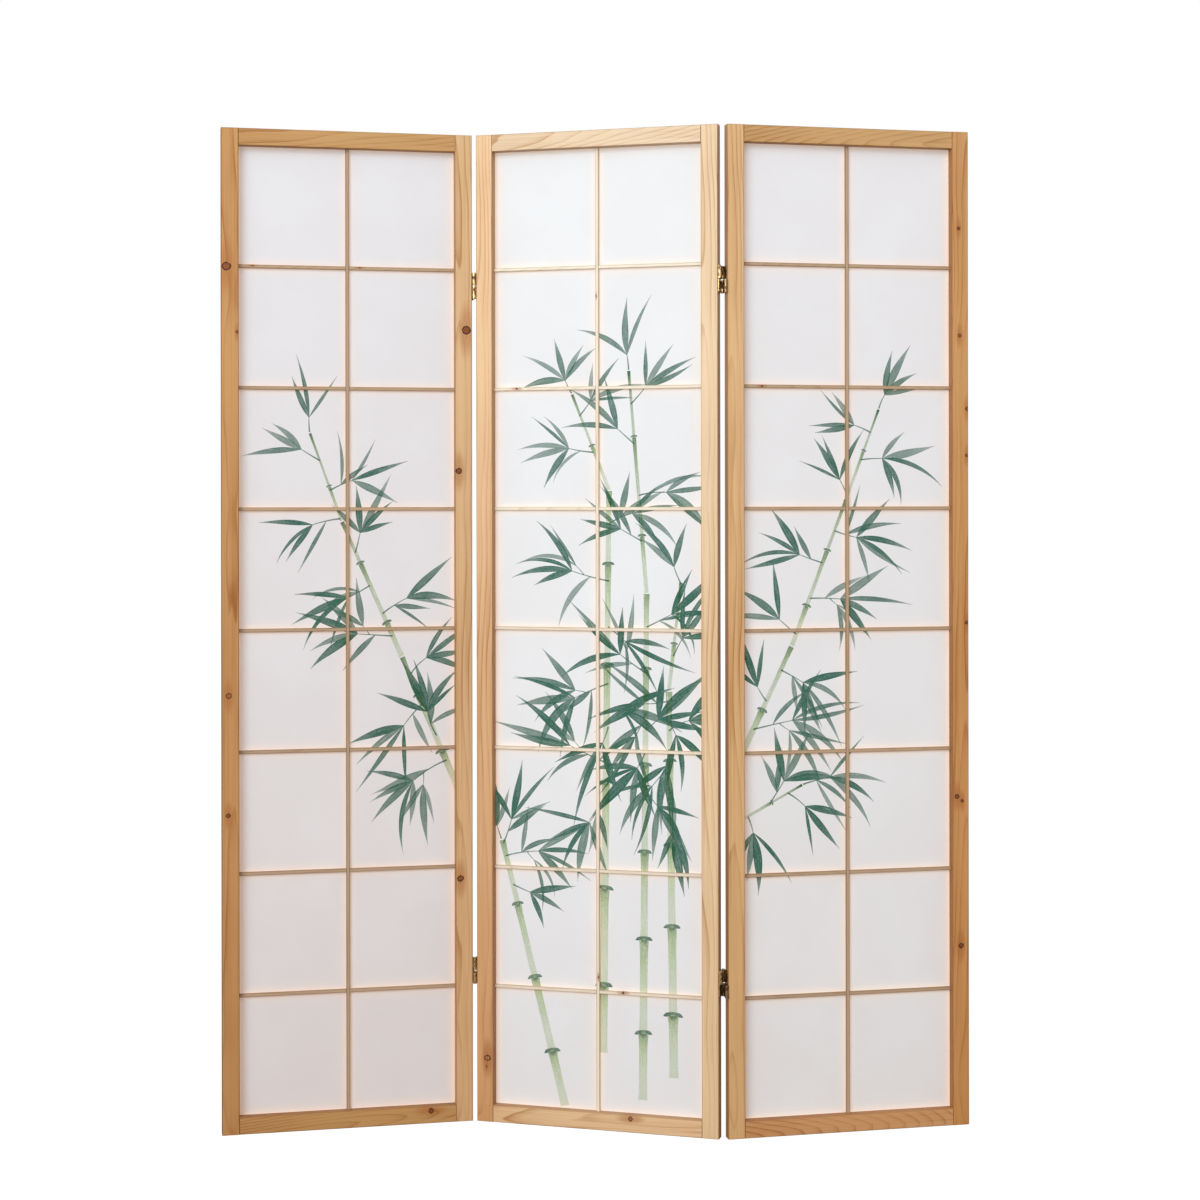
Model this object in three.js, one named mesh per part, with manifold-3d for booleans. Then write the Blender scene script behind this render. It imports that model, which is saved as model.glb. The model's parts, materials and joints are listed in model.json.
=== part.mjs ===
// Three-panel shoji folding screen: softwood frames, a half-lapped lattice with paper glued behind it,
// and double-acting brass hinges that let each side panel fold to the front or to the back.
//
// Millimetres, +Z up. The front of the screen looks towards -Y. The origin is on the floor, under the
// middle of the middle panel, and the screen stands in the zigzag in which it is normally used.
import * as THREE from 'three';
import { mergeVertices } from 'three/addons/utils/BufferGeometryUtils.js';
import Module from 'manifold-3d';

const wasm = await Module();
wasm.setup();

// ---------------------------------------------------------------- driving dimensions

const FIT = 0.3; // gap kept between two pieces that seat on each other

// Frame of one panel
const PANEL_HEIGHT = 1750;
const PANEL_WIDTH = 440;
const FRAME_DEPTH = 20; // front face to rear face
const STILE_WIDTH = 30;
const RAIL_HEIGHT = 30;
const ARRIS = 1; // flat planed on the long edges of the frame
const TENON_LENGTH = 20;
const TENON_THICKNESS = 7;
const TENON_SHOULDER = 6; // rail height left bare above and below its tenon

// Lattice and paper
const LATTICE_ROWS = 8;
const BAR_WIDTH = 6;
const BAR_DEPTH = 5;
const BAR_ARRIS = 0.5;
const BAR_HOUSING = 5; // how far a bar's end enters the frame
const LATTICE_SETBACK = 12; // frame's front face to the bars' front face
const PAPER_THICKNESS = 0.4;
const PAPER_LAP = 6; // paper glued onto the rebate, past the frame's inner edge
const PAPER_MARGIN = 1; // rebate left bare outside the paper

// Double-acting hinges
const HINGE_HEIGHT = 46;
const HINGE_INSET = 267; // panel's end to the hinge's middle
const HALF_GAP = 2; // between the hinge's upper and lower halves
const LINK_HEIGHT = 7; // the part of each half's barrel that belongs to the link
const LEAF_THICKNESS = 1.2;
const LINK_THICKNESS = 0.9;
const LEAF_CORNER = 2.5;
const PIN_RADIUS = 1.7;
const PIN_HEAD_RADIUS = 2.3;
const PIN_HEAD_HEIGHT = 0.8;
const PIN_PROUD = 0.8; // pin's axis outside the panel's face, so that folded faces clear each other
const SCREW_RADIUS = 1.4;
const SCREW_HEAD_RADIUS = 2.6;
const SCREW_PITCH = 19; // between screws, up the leaf

// How the screen stands: the bend at each hinge line, away from flat
const FOLD_ANGLE = THREE.MathUtils.degToRad(28.4);

const ROUND_SIDES = 20; // facets round a barrel
const HOLE_SIDES = 12; // facets round a pin or a screw hole

// ---------------------------------------------------------------- sizes worked out from those

const KNUCKLE_BORE = PIN_RADIUS + FIT;
const KNUCKLE_RADIUS = KNUCKLE_BORE + LEAF_THICKNESS;
const PANEL_GAP = 2 * (KNUCKLE_RADIUS + FIT); // a leaf lies flush with the outside of its barrel
const PIN_LINE = FRAME_DEPTH / 2 + PIN_PROUD; // pin axis from the panel's middle plane
const PANEL_PITCH = PANEL_WIDTH + PANEL_GAP;
const FRONT = -FRAME_DEPTH / 2; // y of the frame's front face

const OPENING_WIDTH = PANEL_WIDTH - 2 * STILE_WIDTH;
const OPENING_HEIGHT = PANEL_HEIGHT - 2 * RAIL_HEIGHT;
const BAR_FRONT = FRONT + LATTICE_SETBACK;
const BAR_BACK = BAR_FRONT + BAR_DEPTH;
const REBATE_LAP = PAPER_LAP + PAPER_MARGIN;
const CROSS_BARS = LATTICE_ROWS - 1;
const ROW_PITCH = (OPENING_HEIGHT + BAR_WIDTH) / LATTICE_ROWS;
const crossBarHeight = (n) => RAIL_HEIGHT + n * ROW_PITCH - BAR_WIDTH / 2;

// ---------------------------------------------------------------- solids

function solidOf(geometry) {
  const bare = geometry.clone();
  bare.deleteAttribute('normal');
  bare.deleteAttribute('uv');
  const merged = mergeVertices(bare, 1e-4);
  return new wasm.Manifold(
    new wasm.Mesh({
      numProp: 3,
      vertProperties: new Float32Array(merged.attributes.position.array),
      triVerts: new Uint32Array(merged.index.array),
    }),
  );
}

function geometryOf(solid) {
  const mesh = solid.getMesh();
  const geometry = new THREE.BufferGeometry();
  geometry.setAttribute('position', new THREE.BufferAttribute(mesh.vertProperties, 3));
  geometry.setIndex(new THREE.BufferAttribute(mesh.triVerts, 1));
  const faceted = geometry.toNonIndexed();
  faceted.computeVertexNormals();
  return faceted;
}

// A block between two corners.
function block(low, high) {
  const size = high.map((v, i) => v - low[i]);
  const middle = high.map((v, i) => (v + low[i]) / 2);
  return solidOf(new THREE.BoxGeometry(...size).translate(...middle));
}

// A section drawn in plan, standing between two heights.
function standing(shape, low, high, curveSegments = ROUND_SIDES) {
  const geometry = new THREE.ExtrudeGeometry(shape, {
    depth: high - low,
    bevelEnabled: false,
    curveSegments,
  });
  return solidOf(geometry.translate(0, 0, low));
}

// A section drawn as (y, z), running along x between two places.
function lying(shape, low, high) {
  const geometry = new THREE.ExtrudeGeometry(shape, { depth: high - low, bevelEnabled: false });
  // shape x -> y, shape y -> z, extrusion -> x
  geometry.applyMatrix4(new THREE.Matrix4().makeBasis(
    new THREE.Vector3(0, 1, 0),
    new THREE.Vector3(0, 0, 1),
    new THREE.Vector3(1, 0, 0),
  ));
  return solidOf(geometry.translate(low, 0, 0));
}

// An upright round bar or hole.
function upright(radius, low, high, x, y, sides) {
  const geometry = new THREE.CylinderGeometry(radius, radius, high - low, sides);
  return solidOf(geometry.rotateX(Math.PI / 2).translate(x, y, (low + high) / 2));
}

// A rectangle whose four corners are planed off.
function easedRectangle(x0, y0, x1, y1, ease) {
  const shape = new THREE.Shape();
  shape.moveTo(x0 + ease, y0);
  shape.lineTo(x1 - ease, y0);
  shape.lineTo(x1, y0 + ease);
  shape.lineTo(x1, y1 - ease);
  shape.lineTo(x1 - ease, y1);
  shape.lineTo(x0 + ease, y1);
  shape.lineTo(x0, y1 - ease);
  shape.lineTo(x0, y0 + ease);
  shape.closePath();
  return shape;
}

// ---------------------------------------------------------------- frame

// The rebate routed round the back of the glued-up frame, for the paper's edge.
function rebateCut() {
  const half = OPENING_WIDTH / 2 + REBATE_LAP;
  return block(
    [-half, BAR_BACK, RAIL_HEIGHT - REBATE_LAP],
    [half, FRAME_DEPTH, PANEL_HEIGHT - RAIL_HEIGHT + REBATE_LAP],
  );
}

// The slots that the lattice drops into from the back, one round each bar.
function barSlots() {
  const across = OPENING_WIDTH / 2 + BAR_HOUSING + FIT;
  const half = BAR_WIDTH / 2 + FIT;
  const front = BAR_FRONT - FIT;
  const slots = [block(
    [-half, front, RAIL_HEIGHT - BAR_HOUSING - FIT],
    [half, FRAME_DEPTH, PANEL_HEIGHT - RAIL_HEIGHT + BAR_HOUSING + FIT],
  )];
  for (let n = 1; n <= CROSS_BARS; n += 1) {
    const z = crossBarHeight(n);
    slots.push(block([-across, front, z - half], [across, FRAME_DEPTH, z + half]));
  }
  return slots.reduce((a, b) => a.add(b));
}

// Both tenons of a rail whose middle is at this height, grown by the given gap.
function tenons(z, grow) {
  const reach = OPENING_WIDTH / 2 + TENON_LENGTH + grow;
  const thick = TENON_THICKNESS / 2 + grow;
  const tall = RAIL_HEIGHT / 2 - TENON_SHOULDER + grow;
  return block([-reach, -thick, z - tall], [reach, thick, z + tall]);
}

const RAIL_MIDDLES = [RAIL_HEIGHT / 2, PANEL_HEIGHT - RAIL_HEIGHT / 2];

// An upright of the frame. side is -1 on the panel's left and 1 on its right.
function stile(side) {
  const inner = OPENING_WIDTH / 2;
  const outer = PANEL_WIDTH / 2;
  const [x0, x1] = side > 0 ? [inner, outer] : [-outer, -inner];
  const board = standing(easedRectangle(x0, FRONT, x1, -FRONT, ARRIS), 0, PANEL_HEIGHT);
  return [rebateCut(), barSlots(), ...RAIL_MIDDLES.map((z) => tenons(z, FIT))]
    .reduce((wood, cut) => wood.subtract(cut), board);
}

// A crosspiece of the frame with a tenon at each end.
function rail(middle) {
  const half = OPENING_WIDTH / 2 - FIT;
  const z0 = middle - RAIL_HEIGHT / 2;
  const z1 = middle + RAIL_HEIGHT / 2;
  return lying(easedRectangle(FRONT, z0, -FRONT, z1, ARRIS), -half, half)
    .subtract(rebateCut())
    .subtract(barSlots())
    .add(tenons(middle, 0));
}

// ---------------------------------------------------------------- lattice and paper

const LAP_PLANE = (BAR_FRONT + BAR_BACK) / 2;
const LAP_HALF = BAR_WIDTH / 2 + FIT;

// The upright bar runs in front at every crossing: its back half is notched.
function uprightBar() {
  const section = easedRectangle(-BAR_WIDTH / 2, BAR_FRONT, BAR_WIDTH / 2, BAR_BACK, BAR_ARRIS);
  const low = RAIL_HEIGHT - BAR_HOUSING;
  let bar = standing(section, low, PANEL_HEIGHT - low);
  for (let n = 1; n <= CROSS_BARS; n += 1) {
    const z = crossBarHeight(n);
    bar = bar.subtract(block(
      [-BAR_WIDTH, LAP_PLANE - FIT / 2, z - LAP_HALF],
      [BAR_WIDTH, FRAME_DEPTH, z + LAP_HALF],
    ));
  }
  return bar;
}

// A cross bar passes behind the upright one: its front half is notched.
function crossBar(n) {
  const z = crossBarHeight(n);
  const reach = OPENING_WIDTH / 2 + BAR_HOUSING;
  const section = easedRectangle(BAR_FRONT, z - BAR_WIDTH / 2, BAR_BACK, z + BAR_WIDTH / 2, BAR_ARRIS);
  return lying(section, -reach, reach).subtract(block(
    [-LAP_HALF, FRONT, z - BAR_WIDTH],
    [LAP_HALF, LAP_PLANE + FIT / 2, z + BAR_WIDTH],
  ));
}

// One sheet behind the whole lattice, its edge on the frame's rebate.
function paper() {
  const half = OPENING_WIDTH / 2 + PAPER_LAP;
  const front = BAR_BACK + FIT;
  return block(
    [-half, front, RAIL_HEIGHT - PAPER_LAP],
    [half, front + PAPER_THICKNESS, PANEL_HEIGHT - RAIL_HEIGHT + PAPER_LAP],
  );
}

// ---------------------------------------------------------------- double-acting hinge

// Drawn with the two panels in line, x = 0 in the middle of the gap between them and z = 0 at the
// hinge's middle. A leaf has a barrel on each long edge: on the -x side the front one is in the upper
// half and the rear one in the lower half, and the leaf on the +x side is the same piece turned half a
// turn. In each half a link joins the two barrels. The panels turn one way on the rear pins, which
// takes the lower link along, and the other way on the front pins, which takes the upper one.

const HALF_TOP = HINGE_HEIGHT / 2;
const HALF_FOOT = HALF_GAP / 2;
const LINK_TOP = (HALF_TOP + HALF_FOOT + LINK_HEIGHT) / 2;
const LINK_FOOT = LINK_TOP - LINK_HEIGHT;
const LEAF_BANDS = [[HALF_FOOT, LINK_FOOT - FIT], [LINK_TOP + FIT, HALF_TOP]];
const LINK_KNUCKLE_RADIUS = KNUCKLE_BORE + LINK_THICKNESS;
// Where a flat leaf has to stop to clear the barrel on the other leaf's edge.
const LEAF_STOP = PIN_LINE - Math.sqrt((KNUCKLE_RADIUS + FIT) ** 2 - KNUCKLE_BORE ** 2);

// An upright block or round of one half: half is 1 for the upper half and -1 for the lower one.
const halfBlock = (half, [x0, x1], [y0, y1], [z0, z1]) => (
  block([x0, y0, Math.min(half * z0, half * z1)], [x1, y1, Math.max(half * z0, half * z1)])
);
const halfRound = (half, radius, [z0, z1], y, sides) => (
  upright(radius, Math.min(half * z0, half * z1), Math.max(half * z0, half * z1), 0, y, sides)
);

// The leaf's plate as (y, z), with its corners rounded.
function plateOutline() {
  const [y, z, r] = [LEAF_STOP, HALF_TOP, LEAF_CORNER];
  const shape = new THREE.Shape();
  shape.moveTo(y, -z + r);
  shape.lineTo(y, z - r);
  shape.absarc(y - r, z - r, r, 0, Math.PI / 2, false);
  shape.absarc(-y + r, z - r, r, Math.PI / 2, Math.PI, false);
  shape.absarc(-y + r, -z + r, r, Math.PI, 1.5 * Math.PI, false);
  shape.absarc(y - r, -z + r, r, 1.5 * Math.PI, 2 * Math.PI, false);
  return shape;
}

// A countersunk screw hole through the plate, wide on the side that faces the gap.
function screwHole(z) {
  const through = new THREE.CylinderGeometry(SCREW_RADIUS, SCREW_RADIUS, 6 * LEAF_THICKNESS, HOLE_SIDES);
  const sink = new THREE.CylinderGeometry(
    SCREW_HEAD_RADIUS + FIT,
    SCREW_RADIUS,
    LEAF_THICKNESS + FIT,
    HOLE_SIDES,
  );
  through.rotateZ(-Math.PI / 2).translate(-KNUCKLE_RADIUS, 0, z);
  sink.rotateZ(-Math.PI / 2).translate(-KNUCKLE_RADIUS + (LEAF_THICKNESS + FIT) / 2, 0, z);
  return solidOf(through).add(solidOf(sink));
}

// One barrel of a leaf: two knuckles, the tabs that they are rolled from and the pin in them. The pin
// runs through the link's knuckle only where the link is hung on it.
function barrel(half, pinRunsThrough) {
  const y = -half * PIN_LINE;
  const inward = half * (LEAF_STOP - LEAF_CORNER);
  const tab = [Math.min(y, -inward), Math.max(y, -inward)];
  const knuckles = LEAF_BANDS.map((band) => (
    halfRound(half, KNUCKLE_RADIUS, band, y, ROUND_SIDES)
      .add(halfBlock(half, [-KNUCKLE_RADIUS, -KNUCKLE_BORE], tab, band))
  ));
  const head = halfRound(half, PIN_HEAD_RADIUS, [HALF_TOP - FIT, HALF_TOP + PIN_HEAD_HEIGHT], y, HOLE_SIDES);
  const metal = knuckles[0].add(knuckles[1]).add(head);
  return pinRunsThrough
    ? metal.add(halfRound(half, PIN_RADIUS, [HALF_FOOT + FIT, HALF_TOP], y, HOLE_SIDES))
    : metal;
}

// How far the lower link's free end comes over the outer leaf, when that leaf is folded the other way
// before the screen is straight. The end swings on a chord about the opposite pin.
function freeEndReach() {
  const length = 2 * PIN_LINE;
  const chord = 2 * length * Math.sin(FOLD_ANGLE / 2);
  const sideways = length * Math.sin(FOLD_ANGLE) - (LINK_KNUCKLE_RADIUS + FIT - KNUCKLE_BORE);
  const along = Math.sqrt(chord ** 2 - sideways ** 2);
  return PIN_LINE - length * Math.cos(FOLD_ANGLE) + along + LINK_KNUCKLE_RADIUS + FIT;
}

// The leaf on the -x side. The outer one, on a side panel, has its lower link hung on the inner leaf
// only, so its lower pin is in two short ends and its plate is cut away where the link's end passes.
function leaf(outer) {
  const plate = lying(plateOutline(), -KNUCKLE_RADIUS, -KNUCKLE_BORE)
    .add(barrel(1, true))
    .add(barrel(-1, !outer));
  const cuts = [-SCREW_PITCH, 0, SCREW_PITCH].map(screwHole);
  if (outer) {
    cuts.push(halfBlock(
      -1,
      [-KNUCKLE_RADIUS - FIT, -KNUCKLE_BORE + FIT],
      [-freeEndReach(), PIN_LINE],
      [LINK_FOOT - FIT, LINK_TOP + FIT],
    ));
  }
  return cuts.reduce((metal, cut) => metal.subtract(cut), plate);
}

// The link's strip in plan: wrapped round both pins and pressed together between them.
function linkSection() {
  const web = LINK_THICKNESS;
  const r = LINK_KNUCKLE_RADIUS;
  const turn = Math.PI * 50 / 180; // where the wrap leaves the knuckle, from square across
  const neck = PIN_LINE - r * Math.sin(turn);
  const flat = PIN_LINE - 1.7 * r;
  const bend = (neck + flat) / 2;
  const out = r * Math.cos(turn);
  const shape = new THREE.Shape();
  shape.moveTo(web, -flat);
  shape.lineTo(web, flat);
  shape.quadraticCurveTo(web, bend, out, neck);
  shape.absarc(0, PIN_LINE, r, -turn, Math.PI + turn, false);
  shape.quadraticCurveTo(-web, bend, -web, flat);
  shape.lineTo(-web, -flat);
  shape.quadraticCurveTo(-web, -bend, -out, -neck);
  shape.absarc(0, -PIN_LINE, r, Math.PI - turn, 2 * Math.PI + turn, false);
  shape.quadraticCurveTo(web, -bend, web, -flat);
  return shape;
}

// A link: a plate as tall as its half of the hinge, with one knuckle on each edge.
function link(half) {
  const [low, high] = half > 0 ? [LINK_FOOT, LINK_TOP] : [-LINK_TOP, -LINK_FOOT];
  const edge = PIN_LINE - KNUCKLE_RADIUS - FIT;
  const plate = halfBlock(half, [-LINK_THICKNESS, LINK_THICKNESS], [-edge, edge], [HALF_FOOT, HALF_TOP]);
  return [-PIN_LINE, PIN_LINE]
    .map((y) => upright(KNUCKLE_BORE, -HINGE_HEIGHT, HINGE_HEIGHT, 0, y, ROUND_SIDES))
    .reduce((metal, bore) => metal.subtract(bore), standing(linkSection(), low, high, 8).add(plate));
}

// ---------------------------------------------------------------- materials

const standard = (color, roughness, metalness) => (
  new THREE.MeshStandardMaterial({ color, roughness, metalness })
);
const wood = {
  left_panel: standard(0xd0a268, 0.55, 0),
  middle_panel: standard(0xe8c393, 0.55, 0),
  right_panel: standard(0xd3a76f, 0.55, 0),
};
const latticeWood = standard(0xe2bf8d, 0.6, 0);
const paperWhite = standard(0xeeeef2, 0.85, 0);
const brass = standard(0xb08d3c, 0.32, 1);

// ---------------------------------------------------------------- assembly

function piece(name, solid, material) {
  const mesh = new THREE.Mesh(geometryOf(solid), material);
  mesh.name = name;
  return mesh;
}

// One panel about its own middle, standing on the floor.
function panel(name) {
  const group = new THREE.Group();
  group.add(
    piece(`${name}_left_stile`, stile(-1), wood[name]),
    piece(`${name}_right_stile`, stile(1), wood[name]),
    piece(`${name}_bottom_rail`, rail(RAIL_MIDDLES[0]), wood[name]),
    piece(`${name}_top_rail`, rail(RAIL_MIDDLES[1]), wood[name]),
    piece(`${name}_upright_bar`, uprightBar(), latticeWood),
    piece(`${name}_paper`, paper(), paperWhite),
  );
  for (let n = 1; n <= CROSS_BARS; n += 1) {
    group.add(piece(`${name}_cross_bar_${n}`, crossBar(n), latticeWood));
  }
  return group;
}

const HINGE_LEVELS = { bottom: HINGE_INSET, top: PANEL_HEIGHT - HINGE_INSET };

// Puts a hinge's pieces at both levels of one side. side is 1 at the right of the middle panel; on the
// left the same hinge is turned half a turn, so that it bends the other way.
function addHinges(group, side, centre, pieces) {
  const name = side > 0 ? 'right' : 'left';
  for (const [level, height] of Object.entries(HINGE_LEVELS)) {
    for (const [part, solid] of pieces) {
      const mesh = piece(`${name}_${level}_hinge_${part}`, solid, brass);
      mesh.position.set(centre, 0, height);
      mesh.rotation.z = side > 0 ? 0 : Math.PI;
      group.add(mesh);
    }
  }
}

const innerPieces = [['inner_leaf', leaf(false)], ['upper_link', link(1)]];
const outerPieces = [['outer_leaf', leaf(true).rotate([0, 0, 180])], ['lower_link', link(-1)]];

const screen = new THREE.Group();
const middlePanel = panel('middle_panel');
middlePanel.rotation.z = -FOLD_ANGLE / 2;
screen.add(middlePanel);

for (const side of [-1, 1]) {
  const centre = side * PANEL_PITCH / 2; // the hinge line, seen from the middle panel
  addHinges(middlePanel, side, centre, innerPieces);

  // The side panel and the lower links turn together about the pins on one face.
  const pinLine = new THREE.Group();
  pinLine.position.set(centre, side * PIN_LINE, 0);
  pinLine.rotation.z = FOLD_ANGLE;
  const sidePanel = panel(side > 0 ? 'right_panel' : 'left_panel');
  sidePanel.position.set(centre, -side * PIN_LINE, 0);
  addHinges(sidePanel, side, -centre, outerPieces);
  pinLine.add(sidePanel);
  middlePanel.add(pinLine);
}

export default screen;
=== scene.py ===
# Finishes a three-leaf folding screen: grained and knotty softwood, an ink print on the paper, worn
# brass hinges with their screws, and a pale studio to stand in. Some light and shade is painted into the
# colours of the wood, the paper and the hinges' plates. Lengths are in metres unless a name ends in _mm.
# Every leaf has its own upright frame: x across, y from front to rear, z up.

import json
import math
import random

import bmesh
import bpy
from bpy.props import FloatProperty, FloatVectorProperty, IntProperty, PointerProperty
from mathutils import Matrix, Vector
from mathutils.geometry import delaunay_2d_cdt


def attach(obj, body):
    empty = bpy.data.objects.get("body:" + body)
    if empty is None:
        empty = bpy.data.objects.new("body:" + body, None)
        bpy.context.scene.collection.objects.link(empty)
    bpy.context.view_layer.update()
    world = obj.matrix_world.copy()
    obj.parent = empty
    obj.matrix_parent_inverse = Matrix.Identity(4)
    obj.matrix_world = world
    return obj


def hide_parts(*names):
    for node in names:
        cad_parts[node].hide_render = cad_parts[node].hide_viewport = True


bl_info = {
    "name": "Shoji folding screen",
    "version": (1, 0, 0),
    "blender": (4, 5, 0),
    "location": "View3D > Sidebar > Folding screen",
    "description": "Finishes the wood, the printed paper and the hinges of a folding screen",
    "category": "Object",
}

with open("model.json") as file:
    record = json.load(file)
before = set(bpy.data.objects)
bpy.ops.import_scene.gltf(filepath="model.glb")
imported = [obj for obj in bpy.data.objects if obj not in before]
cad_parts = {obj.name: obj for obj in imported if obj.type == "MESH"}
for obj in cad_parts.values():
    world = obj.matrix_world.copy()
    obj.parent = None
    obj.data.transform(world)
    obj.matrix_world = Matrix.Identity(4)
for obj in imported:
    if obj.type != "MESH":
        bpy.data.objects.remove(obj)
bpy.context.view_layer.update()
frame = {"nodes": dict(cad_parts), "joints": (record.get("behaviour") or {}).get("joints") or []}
MM = 0.001

# ------------------------------------------------------------------ where the leaves stand

JOINTS = {joint["name"]: joint for joint in frame["joints"]}


def pin_of(joint):
    """The place of a fold's pins, at floor level."""
    return Vector(JOINTS[joint]["pos_m"])


def about(point, angle):
    """A turn about the upright line through a point."""
    return Matrix.Translation(point) @ Matrix.Rotation(angle, 4, "Z") @ Matrix.Translation(-point)


MIDDLE_DEPTH = pin_of("right_fold_rear_pins") - pin_of("right_fold_front_pins")
MIDDLE_TURN = Matrix.Rotation(math.atan2(-MIDDLE_DEPTH.x, MIDDLE_DEPTH.y), 4, "Z")
BEND = -math.radians(JOINTS["right_fold_rear_pins"]["range_deg"][0])
PITCH = 2 * (MIDDLE_TURN.inverted() @ pin_of("right_fold_rear_pins")).x


def side_leaf(pins, shift):
    """The frame of a side leaf, bent away from the middle one about a fold's pins."""
    return about(pin_of(pins), BEND) @ MIDDLE_TURN @ Matrix.Translation((shift, 0, 0))


# Each leaf's own frame, with its origin on the floor at the middle of the leaf
LEAVES = {
    "left_panel": side_leaf("left_fold_front_pins", -PITCH),
    "middle_panel": MIDDLE_TURN,
    "right_panel": side_leaf("right_fold_rear_pins", PITCH),
}


def leaf_of(node):
    """The leaf that a piece of joinery belongs to."""
    return next(leaf for leaf in LEAVES if node.startswith(leaf))


def extents(node, leaf):
    """The lowest and highest corner of a node in a leaf's own frame."""
    to_leaf = LEAVES[leaf].inverted()
    points = [to_leaf @ vertex.co for vertex in frame["nodes"][node].data.vertices]
    low = Vector(min(point[axis] for point in points) for axis in range(3))
    high = Vector(max(point[axis] for point in points) for axis in range(3))
    return low, high


# ------------------------------------------------------------------ settings a user would change


class ScreenWoodSettings(bpy.types.PropertyGroup):
    # Painted light: the side leaves' wood is made darker, as shade, because they face away from the key
    # light. The middle leaf's is made paler, as its lit sheen.
    side_shaded_tone: FloatVectorProperty(
        name="Side frames",
        description="Colour of the pale early wood on the two side leaves",
        subtype="COLOR",
        default=(0.72, 0.455, 0.235),
    )
    middle_lit_tone: FloatVectorProperty(
        name="Middle frame",
        description="Colour of the pale early wood on the middle leaf",
        subtype="COLOR",
        default=(0.80, 0.56, 0.33),
    )
    # Painted light on the bars too: the side lattices' wood is made darker, as shade, and the middle
    # one's paler, as lit.
    side_lattice_shaded_tone: FloatVectorProperty(
        name="Side lattices",
        description="Colour of the pale early wood of the bars of the two side leaves",
        subtype="COLOR",
        default=(0.54, 0.385, 0.25),
    )
    middle_lattice_lit_tone: FloatVectorProperty(
        name="Middle lattice",
        description="Colour of the pale early wood of the bars of the middle leaf",
        subtype="COLOR",
        default=(0.94, 0.83, 0.68),
    )
    ring_spacing: FloatProperty(
        name="Ring spacing",
        description="Distance between two growth rings",
        unit="LENGTH",
        default=4.2 * MM,
        min=0.5 * MM,
    )


class ScreenPrintSettings(bpy.types.PropertyGroup):
    paper: FloatVectorProperty(
        name="Paper",
        description="Colour of the unprinted paper",
        subtype="COLOR",
        default=(0.770, 0.762, 0.778),
    )
    ink: FloatVectorProperty(
        name="Ink",
        description="What the paper's colour is multiplied by under one full stroke of ink",
        subtype="COLOR",
        default=(0.050, 0.175, 0.130),
    )
    wash: FloatVectorProperty(
        name="Wash",
        description="What the paper's colour is multiplied by under the wash of the canes",
        subtype="COLOR",
        default=(0.56, 0.69, 0.40),
    )
    # Strength of the paper's painted glow, which stands in for light through it
    glow: FloatProperty(
        name="Light through",
        description="How much light the paper gives off where it is brightest, beside the wood",
        default=0.40,
        min=0.0,
        max=1.0,
    )
    seed: IntProperty(
        name="Seed",
        description="Picks another arrangement of the leaves on their twigs",
        default=5,
    )


class ScreenHingeSettings(bpy.types.PropertyGroup):
    brass: FloatVectorProperty(
        name="Brass",
        description="Colour of the clean brass",
        subtype="COLOR",
        default=(0.78, 0.55, 0.27),
    )
    # Also the colour of the hinges' plates away from the pins, painted dark as the shade and dark
    # reflection of the gap between the leaves.
    tarnish: FloatVectorProperty(
        name="Tarnish",
        description="Colour of the brass where it has dulled",
        subtype="COLOR",
        default=(0.085, 0.043, 0.018),
    )
    screw_radius: FloatProperty(
        name="Screw head",
        description="Radius of a screw's countersunk head",
        unit="LENGTH",
        default=2.6 * MM,
        min=1.0 * MM,
    )


class ScreenStageSettings(bpy.types.PropertyGroup):
    key_power: FloatProperty(
        name="Key light",
        description="Power of the distant soft light at the front left",
        unit="POWER",
        default=870.0,
        min=0.0,
    )
    top_power: FloatProperty(
        name="Top light",
        description="Power of the soft light overhead in front of the screen",
        unit="POWER",
        default=14.0,
        min=0.0,
    )
    ambient: FloatProperty(
        name="Ambient light",
        description="Strength of the even light from all round",
        default=0.61,
        min=0.0,
    )


# ------------------------------------------------------------------ small helpers for node trees


class Wire:
    """A value that comes out of a node. A sum on wires adds the node that does it."""

    def __init__(self, socket):
        self.socket = socket
        self.tree = socket.id_data

    def __add__(self, other):
        return calc("ADD", self, other)

    def __sub__(self, other):
        return calc("SUBTRACT", self, other)

    def __rsub__(self, other):
        return calc("SUBTRACT", other, self)

    def __mul__(self, other):
        return calc("MULTIPLY", self, other)

    def __truediv__(self, other):
        return calc("DIVIDE", self, other)


def out(node, socket=0):
    """What comes out of one of a node's sockets."""
    return Wire(node.outputs[socket])


def feed(node, inputs):
    """Sets a node's inputs. A value is a number, a place, a colour or a wire."""
    for name, value in inputs.items():
        if isinstance(value, Wire):
            value.tree.links.new(value.socket, node.inputs[name])
        else:
            node.inputs[name].default_value = value


def add(tree, kind, inputs=None, **settings):
    """Adds a node."""
    node = tree.nodes.new(kind)
    for name, value in settings.items():
        setattr(node, name, value)
    feed(node, inputs or {})
    return node


def is_vector(value):
    """Whether a wire or a constant is a place and not a number."""
    if isinstance(value, Wire):
        return value.socket.type == "VECTOR"
    return not isinstance(value, (int, float))


def calc(operation, *values, clamp=False):
    """One sum. It is on vectors where one of its values is a vector, and else on numbers."""
    tree = next(value.tree for value in values if isinstance(value, Wire))
    inputs = dict(enumerate(values))
    if any(is_vector(value) for value in values):
        node = add(tree, "ShaderNodeVectorMath", inputs, operation=operation)
        return out(node, "Value" if operation == "LENGTH" else "Vector")
    return out(add(tree, "ShaderNodeMath", inputs, operation=operation, use_clamp=clamp))


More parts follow.
